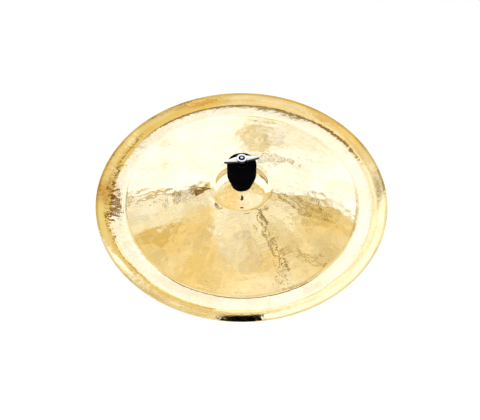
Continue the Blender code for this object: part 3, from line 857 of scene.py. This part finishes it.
@dataclass
class FeltStack:
    """Three black felts: one under the bell and two over it."""

    plate: CymbalPlate
    bore: float = 5.3 * MM
    upper_radius: float = 20.0 * MM
    lower_radius: float = 18.0 * MM
    edge: float = 2.5 * MM
    taper: float = 2.6 * MM
    waist: float = 13.0 * MM
    seam: float = 1.0 * MM
    lower_foot: float = 116.8 * MM
    bell_under: float = 128.5 * MM
    middle_foot: float = 129.9 * MM
    middle_top: float = 145.95 * MM
    upper_foot: float = 146.25 * MM
    upper_top: float = 162.3 * MM
    gap: float = 0.3 * MM
    mesh_step: float = 0.7 * MM
    lump: Point = (340, 0.22 * MM)
    nap: Point = (1300, 0.14 * MM)

    def pad(self, name: str, section: Section, felt: Material) -> Thing:
        """Turns a felt and ruffles its skin inwards, so that it stays in its own space.

        Args:
            name: The piece's name.
            section: Its closed section.
            felt: Its finish.

        Returns:
            The pad.
        """
        work = spun(self.filled(section), 144)
        axes = {"use_axis_x": True, "use_axis_y": True, "use_axis_z": True}
        bmesh.ops.smooth_vert(work, verts=work.verts, factor=0.5, **axes)
        work.normal_update()
        for vertex in work.verts:
            lump = (0.5 + 0.5 * noise.noise(vertex.co * self.lump[0])) * self.lump[1]
            nap = (0.5 + 0.5 * noise.noise(vertex.co * self.nap[0] + Vector((7, 3, 1)))) * self.nap[1]
            vertex.co -= vertex.normal * (lump + nap)
        return finished(name, work, felt)

    def filled(self, section: Section) -> list[Point]:
        """The same closed section with points no further apart than the mesh's step."""
        points = []
        for a, b in zip(section, [*section[1:], section[0]]):
            first, last = Vector(a), Vector(b)
            count = max(1, math.ceil((last - first).length / self.mesh_step))
            points += [first.lerp(last, k / count).to_tuple() for k in range(count)]
        return points

    def rounded(self, radius: float, corner: float, height: float, way: int) -> list[Point]:
        """A quarter round at a pad's outer edge.

        Args:
            radius: The pad's radius.
            corner: The rounding's radius.
            height: The height of the pad's end face.
            way: 1 if that face looks up, -1 if it looks down.

        Returns:
            Points from the end face to the side.
        """
        points = []
        for k in range(5):
            angle = math.pi / 2 * k / 4
            out = radius - corner + corner * math.sin(angle)
            points.append((out, height - way * corner * (1 - math.cos(angle))))
        return points

    def spread(self, reach: float) -> list[float]:
        """Seven radii from the bore to a reach."""
        return [self.bore + (reach - self.bore) * k / 6 for k in range(7)]

    def middle_section(self, top: Section) -> list[Point]:
        """The middle felt, whose foot follows the bell and whose side bulges upwards."""
        narrow = self.upper_radius - self.taper
        foot = [(r, height_at(top, r) + self.gap) for r in self.spread(narrow - self.edge)]
        side_foot = self.rounded(narrow, self.edge, foot[-1][1], -1)
        rise = self.waist - self.edge
        for k in range(1, 9):
            lift = k / 8
            out = self.upper_radius - self.taper * (1 - lift) ** 2
            side_foot.append((out, side_foot[4][1] + rise * lift))
        side_top = self.rounded(self.upper_radius, self.seam, self.middle_top, 1)
        return foot[:-1] + side_foot + side_top[::-1] + [(self.bore, self.middle_top)]

    def upper_section(self) -> list[Point]:
        """The upper felt, which is straight."""
        return [
            (self.bore, self.upper_foot),
            *self.rounded(self.upper_radius, self.seam, self.upper_foot, -1),
            *self.rounded(self.upper_radius, self.seam * 1.3, self.upper_top, 1)[::-1],
            (self.bore, self.upper_top),
        ]

    def lower_section(self, top: Section) -> list[Point]:
        """The lower felt, whose crown follows the bell from below."""
        crown = []
        for radius in self.spread(self.lower_radius - self.edge):
            under = height_at(top, radius) - self.plate.wall(radius)
            crown.append((radius, min(under, self.bell_under) - self.gap))
        return [
            (self.bore, self.lower_foot),
            *self.rounded(self.lower_radius, self.edge / 2, self.lower_foot, -1),
            *self.rounded(self.lower_radius, self.edge, crown[-1][1], 1)[::-1],
            *crown[:-1][::-1],
        ]

    def build(self, felt: Material) -> None:
        """Makes the three felts and lets the upper one ride on the felts' body."""
        top = self.plate.top()
        middle = self.pad("middle_felt_pad", self.middle_section(top), felt)
        upper = self.pad("upper_felt_pad", self.upper_section(), felt)
        lower = self.pad("lower_felt_pad", self.lower_section(top), felt)
        for piece, start, end in (
            (middle, self.middle_top, self.middle_foot),
            (lower, self.lower_foot, self.bell_under),
        ):
            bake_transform(piece)
        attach(upper, Body.FELTS.value)
        for piece, node in ((upper, "upper_felt"), (middle, "middle_felt"), (lower, "lower_felt")):
            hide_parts(node)
            LOG.info("%s stands for %s", piece.name, node)


@dataclass
class TurnedPart:
    """A round part of the hardware that stands for one CAD node."""

    name: str
    node: str
    section: Section
    body: Body
    slot: Slot
    corner: float = 0.25 * MM
    axis: Axis = Axis.UP
    place: tuple[float, float, float] = (0.0, 0.0, 0.0)
    steps: int = 96

    def build(self, material: Material) -> None:
        """Turns the part, rounds its corners and settles it."""
        work = spun(self.section, self.steps)
        soften(work, self.corner)
        piece = finished(self.name, work, material, Matrix.Translation(self.place) @ self.axis.value)
        settle(piece, self.body, self.slot, self.node)


def ring(bore: float, radius: float, bottom: float, wall: float) -> list[Point]:
    """A ring's closed section."""
    return [(bore, bottom), (radius, bottom), (radius, bottom + wall), (bore, bottom + wall)]


@dataclass
class WingedHead:
    """A hub with two leaf-shaped wings, as on the wing nut and the tilter's wing screw."""

    hub_foot: float = 8.0 * MM
    hub_top: float = 6.8 * MM
    height: float = 9.6 * MM
    reach: float = 23.9 * MM
    tip_drop: float = 2.4 * MM
    tip_depth: float = 4.6 * MM
    root_thick: float = 12.0 * MM
    tip_thick: float = 1.8 * MM
    fineness: float = 0.26 * MM

    def wings(self) -> Shape:
        """Makes both wings as one bar, thick in the middle and drawn out to the tips."""
        work = bmesh.new()
        bmesh.ops.create_cube(work, size=2.0)
        bmesh.ops.subdivide_edges(work, edges=work.edges, cuts=24, use_grid_fill=True)
        for vertex in work.verts:
            x, y, z = vertex.co
            share = abs(x)
            around = max(abs(y), abs(z))
            corner = math.hypot(y, z)
            pull = (around / corner) ** 0.55 if corner > 1e-6 else 1.0
            fade = 1 - 0.35 * max(0.0, share - 0.92) / 0.08
            high = self.height - self.tip_drop * share**0.9
            low = self.height * 0.12 + (high - self.tip_depth - self.height * 0.12) * share**1.35
            middle, half = (high + low) / 2, (high - low) / 2 * fade
            thick = self.tip_thick / 2 + (self.root_thick - self.tip_thick) / 2 * (1 - share**1.25)
            vertex.co = (x * self.reach, y * pull * thick * fade, middle + z * pull * half)
        bmesh.ops.recalc_face_normals(work, faces=work.faces)
        return work

    def hub(self) -> Shape:
        """Makes the hub, a stub that narrows upwards to a flat top."""
        shoulder = self.hub_top + 0.2 * (self.hub_foot - self.hub_top)
        side = [(self.hub_foot, 0.0), (shoulder, self.height * 0.88), (self.hub_top, self.height)]
        return spun([(0.0, 0.0), *side, (0.0, self.height)], 72, closed=False)

    def threaded_hole(self, bore: float) -> Shape:
        """Makes what a threaded hole with a countersink takes away."""
        over = self.height + 1.0 * MM
        side = [(bore, -self.height), (bore, self.height - 0.5 * MM), (bore + 1.5 * MM, over)]
        return spun([(0.0, -self.height), *side, (0.0, over)], 72, closed=False)

    def cast(self, name: str, material: Material, place: Matrix, part: str, shape: Shape) -> Thing:
        """Casts hub and wings in one with a shank, or round a bore.

        Args:
            name: The piece's name.
            material: Its finish.
            place: Where it stands in the frame.
            part: What the further shape is, shank or bore.
            shape: That shape.

        Returns:
            The piece.
        """
        shapes = (("wings", self.wings()), ("hub", self.hub()), (part, shape))
        guides = [linked(f"{name}_{kind}", work) for kind, work in shapes]
        return finished(name, melted(guides, self.fineness, 4), material, place)


@dataclass
class TopHardware:
    """What shows above the felts: rod, washer and wing nut."""

    rod_radius: float = 3.85 * MM
    rod_root: float = 3.15 * MM
    rod_foot: float = 87.7 * MM
    rod_top: float = 174.2 * MM
    end_radius: float = 1.9 * MM
    pitch: float = 1.25 * MM
    bore: float = 4.15 * MM
    washer_foot: float = 162.6 * MM
    washer_wall: float = 1.3 * MM
    washer_radius: float = 8.0 * MM
    nut_foot: float = 164.2 * MM
    nut_turn: float = 11.0
    head: WingedHead = field(default_factory=WingedHead)

    def rod(self) -> Shape:
        """Makes the rod: a thread round a core that ends in a wide chamfer."""
        span = (self.rod_foot + self.pitch, self.rod_top - self.pitch)
        work = threaded(self.rod_radius, self.rod_root, *span, self.pitch)
        core = [
            (0.0, self.rod_foot),
            (self.rod_root, self.rod_foot),
            (self.rod_root + 0.05 * MM, self.rod_top - 2.2 * MM),
            (self.rod_radius, self.rod_top - 1.9 * MM),
            (self.rod_radius - 0.1 * MM, self.rod_top - 1.5 * MM),
            (self.end_radius, self.rod_top),
            (0.0, self.rod_top),
        ]
        inner = spun(core, 56, closed=False)
        mesh = bpy.data.meshes.new("rod_core")
        inner.to_mesh(mesh)
        inner.free()
        work.from_mesh(mesh)
        bpy.data.meshes.remove(mesh)
        return work

    def build(self, chrome: Material, nylon: Material, thread: Material) -> None:
        """Makes the rod, the washer and the wing nut."""
        settle(finished("threaded_rod", self.rod(), thread), Body.HEAD, Slot.ZINC_STEEL, "post_rod")
        washer = ring(self.bore, self.washer_radius, self.washer_foot, self.washer_wall)
        TurnedPart("top_washer", "nut_washer", washer, Body.NUT_WASHER, Slot.NYLON).build(nylon)
        turn = Matrix.Rotation(math.radians(self.nut_turn), 4, "Z")
        place = Matrix.Translation((0, 0, self.nut_foot)) @ turn
        nut = self.head.cast("top_wing_nut", chrome, place, "bore", self.head.threaded_hole(self.bore))
        settle(nut, Body.WING_NUT, Slot.CHROME, "wing_nut")


@dataclass
class Seat:
    """What carries the cymbal: sleeve, cup washer and jam nut."""

    sleeve_bore: float = 4.15 * MM
    sleeve_radius: float = 5.0 * MM
    sleeve_foot: float = 114.5 * MM
    sleeve_top: float = 162.0 * MM
    flange_radius: float = 12.0 * MM
    flange_height: float = 2.0 * MM
    cup_foot: float = 112.7 * MM
    cup_wall: float = 1.5 * MM
    cup_lip: float = 1.6 * MM
    cup_radius: float = 19.5 * MM
    cup_corner: float = 0.45 * MM

    def build(self, steel: Material, nylon: Material) -> None:
        """Makes the sleeve and the cup and dresses the jam nut."""
        flange_top = self.sleeve_foot + self.flange_height
        sleeve = [
            (self.sleeve_bore, self.sleeve_foot),
            (self.flange_radius, self.sleeve_foot),
            (self.flange_radius, flange_top),
            (self.sleeve_radius, flange_top),
            (self.sleeve_radius, self.sleeve_top),
            (self.sleeve_bore, self.sleeve_top),
        ]
        TurnedPart("flanged_sleeve", "sleeve", sleeve, Body.FELTS, Slot.NYLON).build(nylon)
        floor = self.cup_foot + self.cup_wall
        cup = [
            (self.sleeve_bore, self.cup_foot),
            (self.cup_radius - self.cup_wall, self.cup_foot),
            (self.cup_radius, floor + self.cup_lip),
            (self.cup_radius - self.cup_wall, floor + self.cup_lip),
            (self.cup_radius - 2 * self.cup_wall, floor),
            (self.sleeve_bore, floor),
        ]
        seat = TurnedPart("pressed_cup", "cup_washer", cup, Body.HEAD, Slot.ZINC_STEEL, self.cup_corner)
        seat.build(steel)
        dress("jam_nut", steel)


@dataclass
class Tilter:
    """The friction tilter: fork, tongue, discs, wing screw and stand spigot."""

    pivot: float = 81.5 * MM
    skin: float = 0.4 * MM
    shank_bore: float = 4.2 * MM
    shank_radius: float = 3.9 * MM
    shank_root: float = 3.2 * MM
    shank_end: float = -19.4 * MM
    washer_x: float = 12.4 * MM
    washer_wall: float = 1.3 * MM
    washer_radius: float = 8.0 * MM
    head_x: float = 14.0 * MM
    disc_x: float = 6.3 * MM
    disc_wall: float = 1.0 * MM
    disc_radius: float = 14.0 * MM
    disc_corner: float = 0.12 * MM
    spigot_radius: float = 6.35 * MM
    spigot_length: float = 60.0 * MM
    spigot_axis: float = 0.02 * MM  # the pinhole that keeps the turned section off its axis
    chamfer: float = 0.8 * MM
    head: WingedHead = field(default_factory=WingedHead)

    def castings(self, casting: Material) -> None:
        """Copies the two castings and melts their corners round."""
        for name, node, body in (
            ("fork_casting", "tilter_base", Body.BASE),
            ("tongue_casting", "tilter_head", Body.HEAD),
        ):
            work = bmesh.new()
            work.from_mesh(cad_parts[node].data)
            bmesh.ops.remove_doubles(work, verts=work.verts, dist=0.005 * MM)
            soft = melted([linked(name + "_guide", work)], self.skin, 5)
            settle(finished(name, soft, casting), body, Slot.CASTING, node)

    def shank(self) -> Shape:
        """Makes the wing screw's shank, which points down from its head."""
        length = self.head_x - self.shank_end
        core = [
            (0.0, -length),
            (self.shank_root - 0.4 * MM, -length),
            (self.shank_root, -length + 0.8 * MM),
            (self.shank_root, -length + 1.4 * MM),
            (self.shank_radius, -length + 2.2 * MM),
            (self.shank_radius, 2 * MM),
            (0.0, 2 * MM),
        ]
        return spun(core, 56, closed=False)

    def spigot(self) -> list[Point]:
        """The spigot's section, with both ends chamfered."""
        inner, top = self.spigot_radius - self.chamfer, self.spigot_length
        return [
            (self.spigot_axis, 0.0),
            (inner, 0.0),
            (self.spigot_radius, self.chamfer),
            (self.spigot_radius, top - self.chamfer),
            (inner, top),
            (self.spigot_axis, top),
        ]

    def build(self, casting: Material, chrome: Material, steel: Material, fibre: Material) -> None:
        """Makes the castings, the wing screw, the washer, the discs and the spigot."""
        self.castings(casting)
        place = Matrix.Translation((self.head_x, 0, self.pivot)) @ Axis.RIGHT.value
        screw = self.head.cast("tilter_wing_screw", chrome, place, "shank", self.shank())
        settle(screw, Body.CLAMP_SCREW, Slot.CHROME, "clamp_screw")
        washer = TurnedPart(
            "screw_washer",
            "clamp_washer",
            ring(self.shank_bore, self.washer_radius, 0.0, self.washer_wall),
            Body.CLAMP_WASHER,
            Slot.ZINC_STEEL,
            axis=Axis.RIGHT,
            place=(self.washer_x, 0, self.pivot),
        )
        washer.build(steel)
        for side, start in (("right", self.disc_x), ("left", -self.disc_x - self.disc_wall)):
            disc = TurnedPart(
                "fibre_disc_" + side,
                "friction_disc_" + side,
                ring(self.shank_bore, self.disc_radius, 0.0, self.disc_wall),
                Body.BASE,
                Slot.FIBRE,
                self.disc_corner,
                Axis.RIGHT,
                (start, 0, self.pivot),
            )
            disc.build(fibre)
        TurnedPart("turned_spigot", "stand_spigot", self.spigot(), Body.BASE, Slot.ZINC_STEEL).build(steel)
        dress("clamp_nut", steel)
        dress("set_screw", steel)


@dataclass(frozen=True)
class Panel:
    """A cloth panel of the light tent, by the angles at which the cymbal mirrors it, in degrees."""

    left: float
    right: float
    low: float
    high: float
    soft: float
    radiance: float
    colour: str
    torn: bool = False


@dataclass(frozen=True)
class Flag:
    """A small cloth near the cymbal's left, by the angles at which the flange mirrors it."""

    radiance: float
    colour: str
    outline: tuple[Point, ...]


@dataclass
class Studio:
    """A pale floor, a white world, one soft lamp and the light tent that the metal mirrors."""

    floor_height: float = -1.6
    floor_size: float = 24.0
    floor_glow: float = 0.3
    matt_light: float = 0.85
    lamp_size: Point = (1.6, 1.2)
    lamp_power: float = 14.0
    lamp_place: Vector = field(default_factory=lambda: Vector((-0.7, 1.0, 1.7)))
    centre: Vector = field(default_factory=lambda: Vector(RIM_CENTRE))
    tent_radius: float = 2.4
    tent_hem: float = 0.05
    brightest: float = 3.0
    stray: float = 2.4
    fold_depth: float = 0.17
    crease_depth: float = 0.45
    crease_width: float = 0.016
    shred_scale: tuple[float, float, float] = (20.0, 36.0, 36.0)
    flag_seat: Vector = field(default_factory=lambda: Vector((-0.19, 0, 0.1)))
    flag_reach: float = 0.36
    flag_gap: float = 0.008
    bands: tuple[tuple[float, float, str], ...] = (
        (0.0, 0.9, "#FFF3D2"),
        (8.0, 1.0, "#FFF3D2"),
        (11.0, 2.45, "#CBD7FF"),
        (46.0, 2.45, "#CBD7FF"),
        (47.5, 1.25, "#EAF0FF"),
        (60.0, 1.15, "#FFFAE8"),
        (66.0, 0.98, "#FFF6D6"),
        (90.0, 0.95, "#FFF5D2"),
    )
    panels: tuple[Panel, ...] = (
        Panel(-95.0, 95.0, 47.0, 92.0, 0.6, 1.08, "#FFFAEB"),
        Panel(-20.0, 12.0, 78.0, 90.0, 3.0, 1.03, "#FFF0C4"),
        Panel(-36.0, -12.0, 65.0, 76.0, 3.0, 1.04, "#FFF2D0"),
        Panel(-95.0, -10.0, 47.0, 62.5, 2.0, 1.27, "#F2F7FF"),
        Panel(-95.0, -10.0, 47.0, 57.0, 2.0, 1.65, "#DCE4FF"),
        Panel(-11.5, 7.7, 60.0, 77.0, 2.2, 1.45, "#E6EDFF"),
        Panel(-8.0, 5.0, 70.0, 84.0, 4.0, 1.2, "#F4F6FF"),
        Panel(10.0, 20.0, 57.0, 70.0, 2.0, 1.4, "#EAF0FF"),
        Panel(23.0, 60.0, 54.0, 66.0, 2.5, 1.0, "#FFF0C8"),
        Panel(-60.0, 5.0, 91.0, 130.0, 12.0, 1.2, "#FFF3D8"),
        Panel(-5.0, 60.0, 91.0, 130.0, 12.0, 1.7, "#E2E8FF"),
        Panel(-95.0, 95.0, 10.0, 47.0, 0.6, 2.45, "#CBD7FF"),
        Panel(-13.0, 10.0, 38.0, 62.0, 1.5, 2.3, "#CBD7FF"),
        Panel(12.0, 95.0, 40.0, 52.0, 0.6, 2.45, "#CBD7FF"),
        Panel(9.0, 30.0, 12.0, 26.0, 4.0, 1.6, "#DDE4FF"),
        Panel(-1.0, 8.5, 16.0, 31.0, 2.5, 1.45, "#EAEFFF"),
        Panel(0.0, 8.0, 17.0, 31.0, 1.5, 0.8, "#FFF0B0", torn=True),
        Panel(-60.0, -22.0, 45.8, 47.8, 0.5, 0.7, "#FFF4D0"),
        Panel(-26.0, -14.0, 46.5, 56.0, 2.0, 0.3, "#FFE27C", torn=True),
        Panel(-40.0, -33.0, 40.0, 47.5, 1.0, 0.5, "#FFE090", torn=True),
        Panel(-31.0, -24.0, 64.0, 71.0, 1.5, 0.85, "#FFE8A8"),
        Panel(14.0, 31.0, 49.0, 61.5, 2.0, 0.3, "#FFE27C", torn=True),
        Panel(5.0, 20.0, 31.0, 37.0, 1.5, 0.4, "#FFE27C", torn=True),
        Panel(-10.0, 6.0, 57.5, 64.5, 0.8, 0.4, "#FFE2A0"),
        Panel(8.8, 10.2, 59.0, 72.0, 0.4, 0.25, "#FFE498"),
        Panel(11.0, 12.2, 71.0, 80.0, 0.4, 0.35, "#FFE0A0"),
        Panel(12.0, 12.9, 79.0, 90.0, 0.3, 0.3, "#FFD890"),
        Panel(14.2, 15.2, 81.0, 90.0, 0.3, 0.4, "#FFD890"),
        Panel(9.4, 34.0, 76.0, 77.6, 0.6, 0.6, "#FFE8B0"),
        Panel(28.0, 60.0, 2.0, 10.0, 2.0, 0.4, "#FFE0A0"),
        Panel(-3.0, 6.0, 102.0, 117.0, 0.8, 0.03, "#FFC8A0"),
    )
    flags: tuple[Flag, ...] = (
        Flag(
            1.0,
            "#FFFAD8",
            (
                *((7, 50), (15, 50.5), (24, 49.5), (25, 51), (29, 50)),
                *((29.5, 43), (26, 39), (20, 42), (12, 45), (7, 47)),
            ),
        ),
        Flag(
            0.3,
            "#FFCC6C",
            (
                *((3.5, 50.5), (3.5, 53), (6, 53.8), (10, 52.6), (15, 50.6)),
                *((19, 49.8), (20, 48.6), (15, 49.4), (8, 49.6)),
            ),
        ),
        Flag(0.85, "#FFDC9C", ((25.5, 48), (29.8, 47.5), (29.8, 43.5), (27, 44), (25.5, 45.5))),
    )

    def seen_directly(self, graph: Graph) -> Socket:
        """A value of 1 for the rays of camera, metal and glass, and 0 for the light on matt things."""
        rays = add_node(graph.tree, "LightPath").outputs
        seen = graph.math("MAXIMUM", rays["Is Camera Ray"], rays["Is Glossy Ray"])
        return graph.math("MAXIMUM", seen, rays["Is Transmission Ray"])

    def floor(self) -> None:
        """Lays the floor far enough down that the cymbal's shadow falls outside the picture."""
        work = bmesh.new()
        bmesh.ops.create_grid(work, x_segments=8, y_segments=8, size=self.floor_size / 2)
        bmesh.ops.translate(work, vec=(0, 0, self.floor_height), verts=work.verts)
        material = bpy.data.materials.new("white_painted_floor")
        material.use_nodes = True
        graph = Graph(material.node_tree)
        inputs = graph.tree.nodes["Principled BSDF"].inputs
        inputs["Base Color"].default_value = linear("#FDFDFD")
        inputs["Roughness"].default_value = 0.9
        inputs["Emission Color"].default_value = linear("#FFFFFF")
        glow = graph.math("MULTIPLY", self.seen_directly(graph), self.floor_glow)
        graph.tree.links.new(glow, inputs["Emission Strength"])
        finished("studio_floor", work, material)

    def world(self) -> None:
        """Lights the world: white to camera, metal and glass, and a little lower to matt things."""
        world = bpy.data.worlds.new("white_studio")
        world.use_nodes = True
        bpy.context.scene.world = world
        tree = world.node_tree
        tree.nodes.clear()
        graph = Graph(tree)
        level = graph.remap(self.seen_directly(graph), 0.0, 1.0, self.matt_light, 1.0)
        sky = add_node(tree, "Background", None, {"Strength": level})
        add_node(tree, "OutputWorld", None, {"Surface": sky.outputs["Background"]})

    def lamp(self) -> None:
        """Hangs one wide soft lamp behind and above, out of the camera's sight."""
        light = bpy.data.lights.new("key_softbox", "AREA")
        light.shape = "RECTANGLE"
        light.size, light.size_y = self.lamp_size
        light.energy = self.lamp_power
        lamp = bpy.data.objects.new("key_softbox", light)
        bpy.context.scene.collection.objects.link(lamp)
        turn = self.lamp_place.to_track_quat("Z", "Y").to_matrix().to_4x4()
        lamp.matrix_world = Matrix.Translation(self.centre + self.lamp_place) @ turn
        lamp.visible_camera = False
        lamp.visible_glossy = False

    def mirrored_only(self, name: str, work: Shape, material: Material) -> None:
        """Makes a shape part of the stage that only mirrors show."""
        thing = finished(name, work, material)
        for ray in ("camera", "diffuse", "shadow", "transmission", "volume_scatter"):
            setattr(thing, "visible_" + ray, False)

    def glowing(self, name: str) -> Material:
        """A new material without its nodes."""
        material = bpy.data.materials.new(name)
        material.use_nodes = True
        material.node_tree.nodes.clear()
        return material

    def tent(self) -> None:
        """Puts up the tent, which only mirroring metal sees."""
        work = bmesh.new()
        bmesh.ops.create_icosphere(work, subdivisions=5, radius=self.tent_radius)
        whole = [*work.verts, *work.edges, *work.faces]
        hem = {"plane_co": (0, 0, self.tent_hem), "plane_no": (0, 0, 1), "clear_inner": True}
        bmesh.ops.bisect_plane(work, geom=whole, **hem)
        bmesh.ops.translate(work, vec=self.centre, verts=work.verts)
        self.mirrored_only("light_tent", work, self.tent_cloth())

    def hang_flags(self) -> None:
        """Hangs the small cloths over the left of the flange, each a little nearer than the last."""
        for k, flag in enumerate(self.flags):
            work = bmesh.new()
            corners = []
            for out, over in flag.outline:
                out, over = math.radians(out), math.radians(over)
                rise = (math.cos(out) * math.cos(over), math.cos(out) * math.sin(over))
                way = Vector((math.sin(out), *rise))
                corners.append(work.verts.new(self.flag_seat + way * (self.flag_reach - self.flag_gap * k)))
            bmesh.ops.contextual_create(work, geom=corners)
            name = f"dark_flag_{k}"
            material = self.glowing(name)
            Graph(material.node_tree).emit(linear(flag.colour), flag.radiance)
            self.mirrored_only(name, work, material)

    def tent_cloth(self) -> Material:
        """Makes the tent's glow: bands by height, with panels that hang in front of them."""
        material = self.glowing("light_tent_cloth")
        graph = Graph(material.node_tree)
        where = add_node(graph.tree, "TexCoord").outputs["Object"]
        way = graph.vector("NORMALIZE", graph.vector("SUBTRACT", where, self.centre))
        parts = graph.split(way)
        side, back, rise = (parts[axis] for axis in "XYZ")
        height = graph.math("MULTIPLY", graph.math("ARCSINE", rise), 2 / math.pi)
        across = graph.math("MULTIPLY", graph.math("ARCSINE", side), 180 / math.pi)
        over = graph.math("MULTIPLY", graph.math("ARCTAN2", rise, back), 180 / math.pi)
        shade = graph.ramp(height, [(up / 90, self.glow(level, hue)) for up, level, hue in self.bands])
        wave_across, wave_over = self.waves(graph, way)
        across = graph.math("ADD", across, wave_across)
        over = graph.math("ADD", over, wave_over)
        shreds = self.shreds(graph, way)
        for panel in self.panels:
            soft = panel.soft
            edges = ((across, panel.left, soft), (across, panel.right, -soft))
            edges += ((over, panel.low, soft), (over, panel.high, -soft))
            covers = [graph.remap(v, edge - s, edge + s, ease="SMOOTHSTEP") for v, edge, s in edges]
            if panel.torn:
                covers.append(shreds)
            cover = covers[0]
            for further in covers[1:]:
                cover = graph.math("MULTIPLY", cover, further)
            shade = graph.mix(cover, shade, self.glow(panel.radiance, panel.colour))
        graph.emit(graph.mix(1.0, shade, self.folds(graph, way), "MULTIPLY"), self.brightest)
        return material

    def waves(self, graph: Graph, way: Socket) -> list[Socket]:
        """How far the panels' wavy edges stray across and over, in degrees, by direction."""
        cloud = graph.noise(way, 7.0, 4.0, 0.6)
        shares = add_node(graph.tree, "SeparateColor", None, {"Color": cloud["Color"]}).outputs
        return [graph.remap(shares[name], 0.2, 0.8, -self.stray, self.stray) for name in ("Red", "Green")]

    def lines(self, graph: Graph, cloud: Socket) -> Socket:
        """How far a cloudy pattern is from its middle value, which it has on winding lines."""
        return graph.math("ABSOLUTE", graph.math("SUBTRACT", cloud, 0.5))

    def shreds(self, graph: Graph, way: Socket) -> Socket:
        """The winding shreds of a torn panel: 1 on a shred and 0 beside it, by direction."""
        cloud = graph.noise(graph.vector("MULTIPLY", way, self.shred_scale), 1.0, 1.0, 0.5, 0.8)
        return graph.remap(self.lines(graph, cloud["Fac"]), 0.06, 0.03, ease="SMOOTHSTEP")

    def folds(self, graph: Graph, way: Socket) -> Socket:
        """The cloth's soft folds and thin dark creases, as a grey that its glow is multiplied by."""
        soft = graph.noise(way, 11.0, 3.0, distortion=0.8)["Fac"]
        shade = graph.remap(soft, 0.3, 0.7, 1 - self.fold_depth, 1 + self.fold_depth)
        gap = self.lines(graph, graph.noise(way, 9.0, 2.0, 0.55, 1.6)["Fac"])
        crease = graph.remap(gap, 0.0, self.crease_width, 1 - self.crease_depth, 1.0, "SMOOTHSTEP")
        return graph.math("MULTIPLY", shade, crease)

    def glow(self, radiance: float, colour: str) -> Colour:
        """A tinted glow as a share of the tent's brightest."""
        red, green, blue, _ = linear(colour)
        share = radiance / self.brightest
        return red * share, green * share, blue * share, 1.0

    def build(self) -> None:
        """Sets up the whole studio."""
        self.floor()
        self.world()
        self.lamp()
        self.tent()
        self.hang_flags()
        bpy.context.scene.view_settings.view_transform = "Standard"
        LOG.info("studio is up, with %d tent panels", len(self.panels))


@dataclass
class PhotoCamera:
    """The camera of the photograph, worked out from the rim's and the crease's ellipses."""

    distance: float = 1.0
    elevation: float = 51.0
    roll: float = 0.32
    lens: float = 53.47
    photo_width: int = 480
    centre_off: Point = (-1.6, -17.2)  # from the picture's middle, in pixels of the photograph
    target: Vector = field(default_factory=lambda: Vector(RIM_CENTRE))

    def build(self) -> None:
        """Puts the camera in place."""
        data = bpy.data.cameras.new("photo_camera")
        data.lens = self.lens
        data.sensor_width = 36.0
        data.shift_x, data.shift_y = (off / self.photo_width for off in self.centre_off)
        camera = bpy.data.objects.new("photo_camera", data)
        bpy.context.scene.collection.objects.link(camera)
        lift = math.radians(self.elevation)
        back = Vector((0, -math.cos(lift), math.sin(lift)))
        turn = back.to_track_quat("Z", "Y").to_matrix().to_4x4()
        roll = Matrix.Rotation(math.radians(self.roll), 4, "Z")
        camera.matrix_world = Matrix.Translation(self.target + back * self.distance) @ turn @ roll
        bpy.context.scene.camera = camera


def main() -> None:
    """Builds the classes in order."""
    logging.basicConfig(level=logging.INFO, format="%(name)s: %(message)s")
    PhotoCamera().build()
    Studio().build()
    steel = ZINC_PLATE.build()
    chrome = BrightChrome().build()
    side_chrome = BrightChrome(name="bright_chrome_side", axis="X").build()
    plate = CymbalPlate()
    plate.build(BuffedBronze().build())
    FeltStack(plate).build(PressedFelt().build())
    nylon = MOULDED_NYLON.build()
    TopHardware().build(chrome, nylon, ThreadedSteel().build())
    Seat().build(steel, nylon)
    Tilter().build(PLATED_CASTING.build(), side_chrome, steel, VulcanisedFibre().build())


if __name__ == "__main__":
    main()
